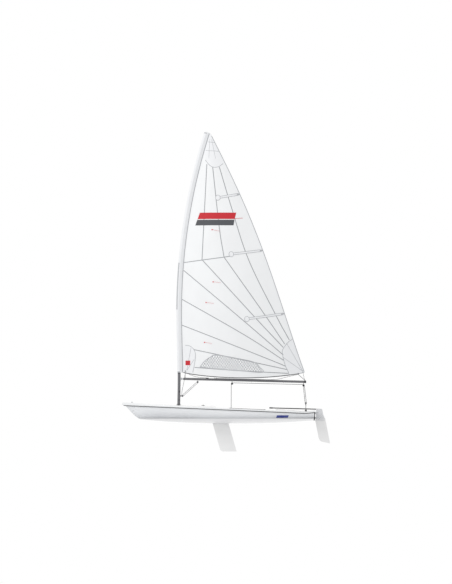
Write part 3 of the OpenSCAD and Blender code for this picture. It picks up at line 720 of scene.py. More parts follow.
def cut(piece: Piece, *cutters: Form, keep: float = 40.0) -> None:
    """Cuts shapes out of a piece for good.

    Args:
        piece: the piece.
        cutters: what is cut out of it.
        keep: edges sharper than this many degrees stay sharp.
    """
    shapes = [cutter.shape() for cutter in cutters]
    for shape in shapes:
        modifier = piece.modifiers.new("cut", "BOOLEAN")
        modifier.operation = "DIFFERENCE"
        modifier.solver = "EXACT"
        modifier.object = shape
    graph = bpy.context.evaluated_depsgraph_get()
    data = bpy.data.meshes.new_from_object(piece.evaluated_get(graph))
    piece.modifiers.clear()
    old, piece.data = piece.data, data
    data.name = piece.name
    bpy.data.meshes.remove(old)
    for shape in shapes:
        bpy.data.objects.remove(shape)
    while len(data.materials) > 1:
        data.materials.pop()
    mesh = bmesh.new()
    mesh.from_mesh(data)
    settle(mesh, 2e-6, keep)
    mesh.to_mesh(data)
    mesh.free()


def fit(piece: Piece, body: str, *nodes: str) -> Piece:
    """Puts a piece on its body.

    Args:
        piece: the piece.
        body: the body that it rides on.
        nodes: the frame nodes that it stands for.

    Returns:
        The piece.
    """
    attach(piece, body)
    if nodes:
        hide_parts(*nodes)
    return piece


def ease(body: str, *rows: tuple[str, str, Finish, float]) -> None:
    """Stands finer pieces for frame nodes whose shape is right but for its sharp edges.

    Args:
        body: the body that they ride on.
        rows: each piece's frame node, name, finish and width of the rounding.
    """
    for node, name, finish, width in rows:
        form = Form(name)
        form.mesh.from_mesh(frame["nodes"][node].data)
        bmesh.ops.remove_doubles(form.mesh, verts=form.mesh.verts, dist=1e-5)
        bmesh.ops.dissolve_limit(form.mesh, angle_limit=radians(1.0), verts=form.mesh.verts,
                                 edges=form.mesh.edges)
        form.crease(width, 38.0)
        fit(form.done(finish, 38.0), body, node)


def wear(finish: Finish, *nodes: str) -> None:
    """Gives frame nodes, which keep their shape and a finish."""
    for node in nodes:
        piece = frame["nodes"][node]
        piece.data.materials.clear()
        piece.data.materials.append(finish.material())
        LOG.info("%s keeps its shape", node)


# ---- hull --------------------------------------------------------------------------------------
@dataclass(frozen=True)
class HullLines:
    """The hull's lines, in metres: plan, sheer, keel, deck and well."""

    half_length: float
    draught: float
    half_beam: float
    nose_overhang: float = 0.068
    half_transom: float = 0.52
    gunwale: float = 0.015
    beam_at: float = 0.62
    sheer_bow: float = 0.291
    sheer_stern: float = 0.105
    tuck: float = 0.031
    tuck_run: float = 0.247
    stem_run: float = 0.337
    forefoot_z: float = -0.018
    keel_low_x: float = 0.3
    keel_rise: float = 0.068
    gunwale_height: float = 0.032
    bow_roll: float = 0.038
    fore_end: float = -0.074
    aft_start: float = 1.25
    step_run: float = 0.033
    fore_crown: float = 0.042
    side_crown: float = 0.004
    aft_crown: float = 0.035
    stern_crown: float = 0.01
    nose: float = 0.004

    @property
    def nose_x(self) -> float:
        """Returns the stem's foremost X."""
        return self.nose_overhang - self.half_length

    def plan(self, s: float, widest: float, end: float) -> float:
        """Returns the half width of an outline.

        Args:
            s: the share of the length from the bow.
            widest: the greatest half width.
            end: the half width at the transom.

        Returns:
            The half width there.
        """
        if s < self.beam_at:
            return widest * max(0.0, 1 - (1 - s / self.beam_at) ** 2.2) ** 0.85
        return mix(widest, end, ((s - self.beam_at) / (1 - self.beam_at)) ** 1.7)

    def inner(self, s: float) -> Plane:
        """Returns X and half width of the hull inside its gunwale."""
        return (mix(self.nose_x, self.half_length, s),
                self.plan(s, self.half_beam - self.gunwale, self.half_transom - self.gunwale))

    def outer(self, s: float) -> Plane:
        """Returns X and half width of the gunwale's outside."""
        return (mix(-self.half_length, self.half_length, s),
                self.plan(s, self.half_beam, self.half_transom))

    def share(self, x: float) -> float:
        """Returns the share of the hull's length at X."""
        return (x - self.nose_x) / (self.half_length - self.nose_x)

    def length_share(self, x: float) -> float:
        """Returns the share of the length over all at X."""
        return (x + self.half_length) / (2 * self.half_length)

    def sheer(self, x: float) -> float:
        """Returns the height of the sheer at X."""
        past = max(0.0, x - self.half_length + self.tuck_run) / self.tuck_run
        return mix(self.sheer_bow, self.sheer_stern, self.length_share(x)) + self.tuck * past ** 1.5

    def keel(self, x: float) -> float:
        """Returns the height of the hull's lowest line at X."""
        forefoot = self.nose_x + self.stem_run
        if x < forefoot:
            return mix(self.forefoot_z, self.sheer(self.nose_x),
                       ((forefoot - x) / self.stem_run) ** 1.33)
        if x < self.keel_low_x:
            return mix(-self.draught, self.forefoot_z,
                       ((self.keel_low_x - x) / (self.keel_low_x - forefoot)) ** 2.2)
        past = (x - self.keel_low_x) / (self.half_length - self.keel_low_x)
        return -self.draught + self.keel_rise * past ** 2.2

    def edge(self, x: float) -> float:
        """Returns the height of the deck's edge at X."""
        roll = self.bow_roll * max(0.0, 1 - self.length_share(x)) ** 4
        return self.sheer(x) + self.gunwale_height + roll

    def crown(self, x: float) -> float:
        """Returns how far the deck's middle stands over its edge at X."""
        if x <= self.fore_end:
            rise = (x + self.half_length) / (self.fore_end + self.half_length)
            return self.fore_crown * max(0.0, rise) ** 1.9
        if x < self.fore_end + self.step_run:
            return mix(self.fore_crown, self.side_crown,
                       smooth((x - self.fore_end) / self.step_run))
        if x <= self.aft_start:
            return self.side_crown
        if x < self.aft_start + self.step_run:
            return mix(self.side_crown, self.aft_crown,
                       smooth((x - self.aft_start) / self.step_run))
        past = self.aft_start + self.step_run
        return mix(self.aft_crown, self.stern_crown, (x - past) / (self.half_length - past))

    def deck(self, x: float, y: float) -> float:
        """Returns the deck's height at X and Y."""
        return self.edge(x) + self.crown(x) * (1 - (y / self.inner(self.share(x))[1]) ** 2)

    def section(self, s: float, angle: float) -> Plane:
        """Returns Y and Z of the hull's skin.

        Args:
            s: the share of the length from the bow.
            angle: 0 at the keel and 90 at the sheer, in degrees.

        Returns:
            Half width and height there.
        """
        sharp = mix(1.4, 0.78, min(1.0, s / 0.45))
        x, half = self.inner(s)
        top = self.sheer(x)
        turn = radians(angle)
        return (half * sin(turn) ** sharp,
                top - (top - self.keel(x)) * max(0.0, cos(turn)) ** sharp)

    def stations(self, count: int) -> list[float]:
        """Returns shares of the length, close together at the bow and at the deck's steps."""
        spread = [mix(self.nose, 1.0, (k / count) ** 1.25) for k in range(count + 1)]
        steps = [self.share(start + self.step_run * k / 6)
                 for start in (self.fore_end, self.aft_start) for k in range(7)]
        clear = [s for s in spread if all(abs(s - t) > 0.0016 for t in steps)]
        return sorted(clear + steps)


@dataclass
class Hull:
    """The hull shell, deck, gunwale, cockpit tub and trunk, and what trims them."""

    lines: HullLines
    stations: int = 110
    around: int = 30
    well_front: float = 0.21
    well_back: float = 1.225
    well_front_half: float = 0.19
    well_back_half: float = 0.265
    corner: float = 0.07
    floor: float = 0.015
    lip: float = 0.011
    wall: float = 0.006
    board_x: float = 0.052
    board_chord: float = 0.338
    board_thick: float = 0.03
    board_rake: float = radians(16)
    trunk_gap: float = 0.003
    head_seat: float = 0.204

    def well(self, out: float, arc: int = 8) -> list[Plane]:
        """Returns the cockpit well's outline.

        Args:
            out: how far outside the well it lies.
            arc: how many steps go round a corner.

        Returns:
            Points of X and Y.
        """
        back, front = self.well_back - self.corner, self.well_front + self.corner
        corners = [(back, self.well_back_half - self.corner, 0),
                   (front, self.well_front_half - self.corner, 90),
                   (front, self.corner - self.well_front_half, 180),
                   (back, self.corner - self.well_back_half, 270)]
        radius = self.corner + out
        rounds = []
        for x, y, start in corners:
            for k in range(arc + 1):
                a = radians(start + 90 * k / arc)
                rounds.append((x + radius * cos(a), y + radius * sin(a)))
        outline = []
        for i, point in enumerate(rounds):
            following = rounds[(i + 1) % len(rounds)]
            span = dist(point, following)
            count = max(1, round(span / 0.04))
            outline += [(mix(point[0], following[0], k / count),
                         mix(point[1], following[1], k / count)) for k in range(count)]
        return outline

    def prism(self, outline: Sequence[Plane], low: float, high: float) -> Form:
        """Makes an upright prism to cut with.

        Args:
            outline: points of X and Y.
            low: the height of its foot.
            high: the height of its top.

        Returns:
            The prism.
        """
        form = Form("prism")
        form.slab([xyz(x, y, low) for x, y in outline], UP * (high - low))
        return form

    def slot(self) -> Form:
        """Returns the raked block that the board's slot is cut with."""
        form = Form("slot")
        room = 2 * self.trunk_gap
        form.block(Matrix.Translation((self.board_x, 0, -self.lines.draught))
                   @ Matrix.Rotation(-self.board_rake, 4, "Y"),
                   self.board_chord + room, self.board_thick + room, 2.0)
        return form

    def shell(self) -> Piece:
        """Returns the hull's skin, closed at the sheer, with the board's slot through it."""
        form = Form("hull_shell")
        rows = []
        for s in self.lines.stations(self.stations):
            row = []
            for k in range(-self.around, self.around + 1):
                y, z = self.lines.section(s, abs(k) * 90 / self.around)
                row.append(xyz(self.lines.inner(s)[0], -copysign(y, k), z))
            rows.append(row)
        made = form.lattice(rows, ring=True, caps=True)
        transom = set(made[-1])
        rim = [e for e in form.mesh.edges if all(v in transom for v in e.verts)
               and any(v.co.z < self.lines.sheer(self.lines.half_length) - 0.001 for v in e.verts)]
        bmesh.ops.bevel(form.mesh, geom=rim, offset=0.005, segments=3, profile=0.5,
                        affect="EDGES", clamp_overlap=True)
        piece = form.done(WHITE_HULL)
        cut(piece, self.slot(), self.prism(self.well(self.wall), self.floor - self.wall, 1.0))
        return piece

    def top(self) -> Piece:
        """Returns the deck, with the well, the board's slot and the mast's hole cut in it."""
        form = Form("deck_moulding")
        rows = []
        for s in self.lines.stations(self.stations):
            x, half = self.lines.inner(s)
            low = self.lines.sheer(x)
            shares = [cos(pi * k / 44) for k in range(45)]
            top = [xyz(x, half * w, self.lines.deck(x, half * w)) for w in shares]
            rows.append([xyz(x, half, low), *top, xyz(x, -half, low)])
        form.lattice(rows, ring=True, caps=True)
        piece = form.done(WHITE_DECK, 50.0)
        mast = Form("mast_hole")
        foot = centre_of("mast_step")
        foot.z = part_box("mast_step")[1].z - 0.02
        mast.turn([(-0.5, 0.0375), (0.1, 0.0375)], foot, xyz(tan(radians(1)), 0, 1))
        pocket = Form("head_pocket")
        lean = Matrix.Shear("XY", 4, (-tan(self.board_rake), 0.0))
        seat = Matrix.Translation((centre_of("daggerboard_head").x, 0, self.head_seat + 0.012))
        pocket.block(seat @ lean @ Matrix.Translation((0, 0, 0.188)),
                     self.board_chord + 0.04, 0.072, 0.4)
        cut(piece, self.prism(self.well(self.lip), -0.2, 1.0), self.slot(), mast, pocket, keep=30.0)
        return piece

    def edge(self) -> Piece:
        """Returns the rolled gunwale, round the bow from transom to transom."""
        bones = [(0, 0), (0.3, 0.0), (0.55, 0.0), (0.9, 0.12), (1, 0.35), (0.97, 0.72),
                 (0.75, 0.94), (0.4, 1.0), (0, 1)]
        profile = rounded([xyz(a, b, 0) for a, b in bones], 0.06)
        form = Form("rolled_gunwale")
        form.lattice([[self.rail(side, s, p.x, p.y) for p in profile] for side, s in self.round()],
                     ring=True, caps=True)
        return form.done(WHITE_EDGE, 60.0)

    def round(self) -> list[tuple[int, float]]:
        """Returns sides and shares of the length, from one transom corner to the other."""
        shares = self.lines.stations(self.stations)
        return [*((-1, s) for s in shares[::-1]), (0, 0.0), *((1, s) for s in shares)]

    def rail(self, side: int, s: float, out: float, up: float, drop: float = 0.0) -> Vector:
        """Returns a place in the gunwale.

        Args:
            side: -1 to port, 1 to starboard, or 0 at the stem.
            s: the share of the length.
            out: the share of the way out from the hull.
            up: the share of the way up from the sheer.
            drop: how far under that it lies.

        Returns:
            The place.
        """
        inner_x, inner_y = self.lines.inner(max(s, self.lines.nose))
        outer_x, outer_y = self.lines.outer(s)
        low, high = self.lines.sheer(inner_x), self.lines.edge(inner_x)
        return xyz(mix(inner_x, outer_x, out), side * mix(inner_y, outer_y, out),
                   mix(low, high, up) - drop)

    def strip(self) -> Piece:
        """Returns the thin black rubbing strip under the gunwale."""
        form = Form("rub_strip")
        form.sweep([self.rail(side, s, 0.55, 0.0, 0.0035) for side, s in self.round()], 0.0075, 10)
        return form.done(BLACK_TRIM)

    def transom_trim(self) -> Piece:
        """Returns the black moulded edge round the transom, down the sides and under the keel."""
        form = Form("transom_trim")
        rows = []
        for back, out in ((0.024, 0.0004), (0.024, 0.003), (0.0, 0.0042), (-0.0035, 0.002),
                          (-0.0035, -0.022), (-0.0006, -0.022)):
            row = []
            for k in range(-self.around, self.around + 1):
                y, z = self.lines.section(1.0, abs(k) * 90 / self.around)
                flare = radians(abs(k) * 90 / self.around)
                row.append(xyz(self.lines.half_length - back,
                                   -copysign(y + out * sin(flare), k),
                                   z - out * cos(flare)))
            rows.append(row)
        made = form.lattice(rows)
        form.mesh.faces.new([row[0] for row in made])
        form.mesh.faces.new([row[-1] for row in made][::-1])
        form.lattice([[v.co.copy() for v in made[-1]], [v.co.copy() for v in made[0]]])
        return form.done(BLACK_TRIM, 50.0)

    def tub(self) -> Piece:
        """Returns the cockpit tub, from its floor up to the lip that rolls over onto the deck."""
        form = Form("cockpit_moulding")
        flare = 0.028
        rows = []
        rise = [k / 6 for k in range(7)]
        levels: list[tuple[float, float, float]] = [
            (-flare * (1 - sin(pi / 2 * t)), 0.0, self.floor + flare * (1 - cos(pi / 2 * t)))
            for t in rise]
        levels += [(0.0, t, mix(self.floor + flare, -self.lip, t)) for t in rise[1:-1]]
        levels += [(self.lip * (1 - cos(pi / 2 * t)), 1.0,
                    0.0012 - self.lip * (1 - sin(pi / 2 * t))) for t in rise]
        levels += [(self.lip + 0.006, 1.0, 0.0008), (self.lip + 0.0075, 1.0, -0.0006)]
        for out, share, z in levels:
            rows.append([xyz(x, y, share * self.lines.deck(x, y) + z) for x, y in self.well(out)])
        inner = form.lattice(rows, ring=True, flip=True)
        form.mesh.faces.new(inner[0])
        under = [[xyz(x, y, share * self.lines.deck(x, y) + z) for x, y in self.well(out)]
                 for out, share, z in ((-flare, 0, self.floor - 0.004),
                                       (0.003, 0, self.floor - 0.004), (0.003, 1, -0.02),
                                       (self.lip + 0.0075, 1, -0.0006))]
        outer = form.lattice(under, ring=True)
        form.mesh.faces.new(outer[0][::-1])
        return form.done(WHITE_TUB, 50.0)

    def trunk(self) -> Piece:
        """Returns the lining of the board's slot and the tray that the board's head sits in."""
        form = Form("trunk_lining")
        low, high = -self.lines.draught + 0.012, self.head_seat
        tilt = tan(self.board_rake)
        half = (self.board_chord / 2 + self.trunk_gap) / cos(self.board_rake)
        ring = [(half * sx, (self.board_thick / 2 + self.trunk_gap) * sy)
                for sx, sy in ((-1, -1), (1, -1), (1, 1), (-1, 1))]
        rows = []
        for z, out in ((high, 0.006), (low, 0.006), (low, 0.0), (high, 0.0)):
            shift = self.board_x - (z + self.lines.draught) * tilt
            rows.append([xyz(shift + x + copysign(out, x), y + copysign(out, y), z)
                         for x, y in ring])
        form.lattice([*rows, rows[0]], ring=True)
        form.crease(0.0012)
        return form.done(BLACK_TRIM)

    def stripe(self) -> Piece:
        """Returns a plain blue stripe on each side of the hull near the stern."""
        form = Form("hull_stripes")
        for side in (-1, 1):
            rows = []
            for k in range(13):
                row = []
                for high, lean in ((0.0, 0.0), (0.018, 0.007), (0.037, 0.014), (0.056, 0.021)):
                    x = mix(1.262, 1.52, k / 12) + lean
                    s = self.lines.share(x)
                    z = 0.014 + high
                    angle = next(a for a in range(900, 0, -1)
                                 if self.lines.section(s, a / 10)[1] <= z) / 10
                    y, z = self.lines.section(s, angle)
                    row.append(xyz(x, side * (y + 0.0006), z))
                rows.append(row)
            form.lattice(rows, flip=side > 0)
        bmesh.ops.solidify(form.mesh, geom=form.mesh.faces[:], thickness=0.0005)
        return form.done(BLUE_STRIPE, 60.0)

    def dress(self) -> None:
        """Builds the hull's pieces and gives each its body and nodes."""
        fit(self.shell(), "hull_body", "hull")
        fit(self.top(), "hull_body", "deck")
        fit(self.edge(), "hull_body", "gunwale")
        fit(self.tub(), "hull_body", "cockpit_tub")
        fit(self.trunk(), "hull_body", "daggerboard_trunk")
        for made in (self.strip(), self.transom_trim(), self.stripe()):
            fit(made, "hull_body")


# ---- mast and sail -----------------------------------------------------------------------------
@dataclass(frozen=True)
class MastLine:
    """The mast's centre line: a straight foot, a slight forward bend and a long aft bend."""

    heel: Plane
    rake: float = radians(1)
    bends: tuple[Plane, ...] = ((0.67, 0.0), (0.76, -1 / 17.9), (0.6, 0.0), (6.39, 1 / 13.16))

    def at(self, distance: float) -> tuple[float, float, float]:
        """Returns X, Z and lean of the centre line at a distance from the heel."""
        x, z, lean = *self.heel, self.rake
        for length, curve in self.bends:
            run = min(distance, length)
            if curve == 0:
                x, z = x + run * sin(lean), z + run * cos(lean)
            else:
                turned = lean + run * curve
                x += (cos(lean) - cos(turned)) / curve
                z += (sin(turned) - sin(lean)) / curve
                lean = turned
            distance -= run
        return x, z, lean

    def behind(self, distance: float, aft: float) -> Plane:
        """Returns X and Z of the place that lies aft of the centre line at a distance."""
        x, z, lean = self.at(distance)
        return x + aft * cos(lean), z - aft * sin(lean)

    def ring(self, distance: float, shape: Iterable[Plane]) -> list[Vector]:
        """Places a flat shape, X aft and Y across, square to the mast at a distance."""
        x, z, lean = self.at(distance)
        return [xyz(x + a * cos(lean), y, z - a * sin(lean)) for a, y in shape]


def to_port(du: np.ndarray, dv: np.ndarray) -> np.ndarray:
    """Returns the unit normals to port of a surface with these slopes."""
    normal = np.cross(du, dv)
    normal /= np.maximum(np.linalg.norm(normal, axis=-1, keepdims=True), 1e-12)
    return normal * -np.sign(normal[..., 1:2])


@dataclass
class SailShape:
    """The set sail's surface, as a function of two shares and as a function of X and Z."""

    mast: MastLine
    tack: float = 1.04
    head: float = 6.42
    aft: float = 0.0855
    clew: Plane = (1.906, 1.013)
    roach: float = 0.145
    foot_round: float = 0.13
    belly: float = 0.075
    lean: float = 0.06
    steps: int = 400

    def __post_init__(self) -> None:
        """Works out the luff and the leech once, at many heights."""
        top = self.mast.behind(self.head - 0.01, self.aft + 0.0195)
        shares = np.linspace(0, 1, self.steps + 1)
        luff = [self.mast.behind(mix(self.tack, self.head - 0.004, v), self.aft) for v in shares]
        leech = [(mix(self.clew[0], top[0], v) + self.roach * sin(pi * v ** 1.3),
                  mix(self.clew[1], top[1], v)) for v in shares]
        self.shares = shares
        self.luff = np.array(luff)
        self.leech = np.array(leech)

    def _ends(self, v: np.ndarray) -> list[np.ndarray]:
        """Returns X and Z of the luff and X and Z of the leech at shares of the height."""
        return [np.interp(v, self.shares, column)
                for column in (*self.luff.T, *self.leech.T)]

    def point(self, u: np.ndarray, v: np.ndarray) -> np.ndarray:
        """Returns points of the sail.

        Args:
            u: shares of the way from luff to leech.
            v: shares of the way from foot to head.

        Returns:
            The points, X, Y and Z in the last axis.
        """
        lx, lz, ex, ez = self._ends(v)
        chord = np.hypot(ex - lx, ez - lz)
        span = np.clip(np.sin(np.pi * np.clip(u, 0, 1)), 0, 1)
        dip = self.foot_round * span ** 0.7 * np.exp(-16 * v)
        y = (-self.belly * chord * np.sin(np.pi * np.clip(u, 0, 1) ** 0.85)
             - self.lean * u * np.sin(np.pi * v))
        return np.stack([lx + (ex - lx) * u, y, lz + (ez - lz) * u - dip], axis=-1)

    def locate(self, x: np.ndarray, z: np.ndarray) -> tuple[np.ndarray, np.ndarray]:
        """Finds the shares of the surface's points that have given X and Z.

        Args:
            x: the points' X.
            z: the points' Z.

        Returns:
            Their shares u and v.
        """
        low, high = np.zeros_like(x), np.ones_like(x)
        for _ in range(34):
            v = (low + high) / 2
            lx, _, ex, _ = self._ends(v)
            u = np.clip((x - lx) / (ex - lx), -0.02, 1.02)
            over = self.point(u, v)[..., 2] > z
            high, low = np.where(over, v, high), np.where(over, low, v)
        return u, v

    def lay(self, x: np.ndarray, z: np.ndarray) -> tuple[np.ndarray, np.ndarray]:
        """Drops points onto the sail along Y.

        Args:
            x: the points' X.
            z: the points' Z.

        Returns:
            The points on the sail, and the sail's normals there, which face port.
        """
        u, v = self.locate(x, z)
        step = 1e-3
        on = self.point(u, v)
        du = self.point(np.clip(u + step, 0, 1), v) - self.point(np.clip(u - step, 0, 1), v)
        dv = self.point(u, np.clip(v + step, 0, 1)) - self.point(u, np.clip(v - step, 0, 1))
        return np.stack([x, on[..., 1], z], axis=-1), to_port(du, dv)


class Drape:
    """Thin shapes, drawn in X and Z, that lie on both faces of the sail."""

    def __init__(self, name: str, sail: SailShape, proud: float) -> None:
        """Starts an empty set of shapes.

        Args:
            name: the piece's name.
            sail: the surface that they lie on.
            proud: how far they stand out from the cloth's middle, in metres.
        """
        self.form = Form(name)
        self.sail = sail
        self.proud = proud

    def _raise(self, flat: bmesh.types.BMesh, proud: Union[float, Callable[[Plane], float]]
               ) -> None:
        """Lifts a flat mesh off both faces of the sail and joins its rims.

        Args:
            flat: the mesh, in X and Z.
            proud: how far it stands out, or a function of X and Z that says.
        """
        flat.verts.index_update()
        places = np.array([(v.co.x, v.co.z) for v in flat.verts])
        on, normal = self.sail.lay(places[:, 0], places[:, 1])
        height = np.array([proud(tuple(p)) if callable(proud) else proud for p in places])
        sides = []
        for way in (1, -1):
            shifted = on + normal * (height * way)[:, None]
            sides.append([self.form.mesh.verts.new(p) for p in shifted])
        for face in flat.faces:
            marks = [loop[flat.loops.layers.uv.active].uv.copy() for loop in face.loops]
            for side, turned in ((0, False), (1, True)):
                corners = [sides[side][v.index] for v in face.verts]
                uvs = marks[::-1] if turned else marks
                made = self.form.mesh.faces.new(corners[::-1] if turned else corners)
                for loop, mark in zip(made.loops, uvs):
                    loop[self.form.uv].uv = mark
        for edge in flat.edges:
            if len(edge.link_faces) == 1:
                a, b = (v.index for v in edge.verts)
                self.form.mesh.faces.new([sides[0][a], sides[0][b], sides[1][b], sides[1][a]])
        flat.free()

    def patch(self, outline: Sequence[Plane], cell: float = 0.03,
              proud: Optional[Callable[[Plane], float]] = None) -> None:
        """Lays a flat outline on the sail.

        Args:
            outline: the outline's points.
            cell: the size of the mesh's cells.
            proud: how far it stands out at X and Z, where that varies.
        """
        flat = bmesh.new()
        flat.loops.layers.uv.new("UVMap")
        flat.faces.new([flat.verts.new((x, 0, z)) for x, z in outline])
        for axis in (0, 2):
            values = [v.co[axis] for v in flat.verts]
            first = floor(min(values) / cell) + 1
            for k in range(first, ceil(max(values) / cell)):
                place, way = xyz(0, 0, 0), xyz(0, 0, 0)
                place[axis], way[axis] = k * cell, 1.0
                bmesh.ops.bisect_plane(flat, geom=flat.verts[:] + flat.edges[:] + flat.faces[:],
                                       dist=1e-6, plane_co=place, plane_no=way)
        self._raise(flat, proud or self.proud)

    def band(self, line: Sequence[Plane], width: float, step: float = 0.03,
             closed: bool = False, curved: bool = False) -> None:
        """Lays a tape along a line on the sail.

        Args:
            line: the line's points.
            width: the tape's width.
            step: the length of the mesh's cells.
            closed: whether the line comes back to its start.
            curved: whether it runs smoothly through its points.
        """
        points = [xyz(x, 0, z) for x, z in line]
        if curved:
            points = rounded(points, step)
        if closed:
            points.append(points[0])
        path = [points[0]]
        for start, end in zip(points, points[1:]):
            count = max(1, round((end - start).length / step))
            path += [start.lerp(end, k / count) for k in range(1, count + 1)]
        flat = bmesh.new()
        uv = flat.loops.layers.uv.new("UVMap")
        rows, marks, run = [], [], 0.0
        for i, point in enumerate(path):
            before = path[i - 1] if i else (path[-2] if closed else point)
            after = path[i + 1] if i + 1 < len(path) else (path[1] if closed else point)
            way = (after - before).normalized()
            side = xyz(-way.z, 0, way.x) * (width / 2)
            rows.append([flat.verts.new(point - side), flat.verts.new(point + side)])
            run += (point - path[i - 1]).length if i else 0
            marks.append(run)
        for i in range(len(rows) - 1):
            face = flat.faces.new([rows[i][0], rows[i][1], rows[i + 1][1], rows[i + 1][0]])
            corners = [(0, marks[i]), (width, marks[i]), (width, marks[i + 1]), (0, marks[i + 1])]
            for loop, mark in zip(face.loops, corners):
                loop[uv].uv = mark
        self._raise(flat, self.proud)

    def done(self, finish: Finish) -> Piece:
        """Returns the shapes as one piece in a finish."""
        return self.form.done(finish, 50.0)


def round_outline(centre: Plane, across: float, up: float, count: int = 24) -> list[Plane]:
    """Returns an ellipse's points, with its half width and half height."""
    return [(centre[0] + across * cos(a), centre[1] + up * sin(a))
            for a in turns(count)]


def curve_through(points: Sequence[Plane], step: float = 0.03) -> list[Plane]:
    """Returns the points of a smooth flat curve through points."""
    return [(p.x, p.z) for p in rounded([xyz(x, 0, z) for x, z in points], step)]


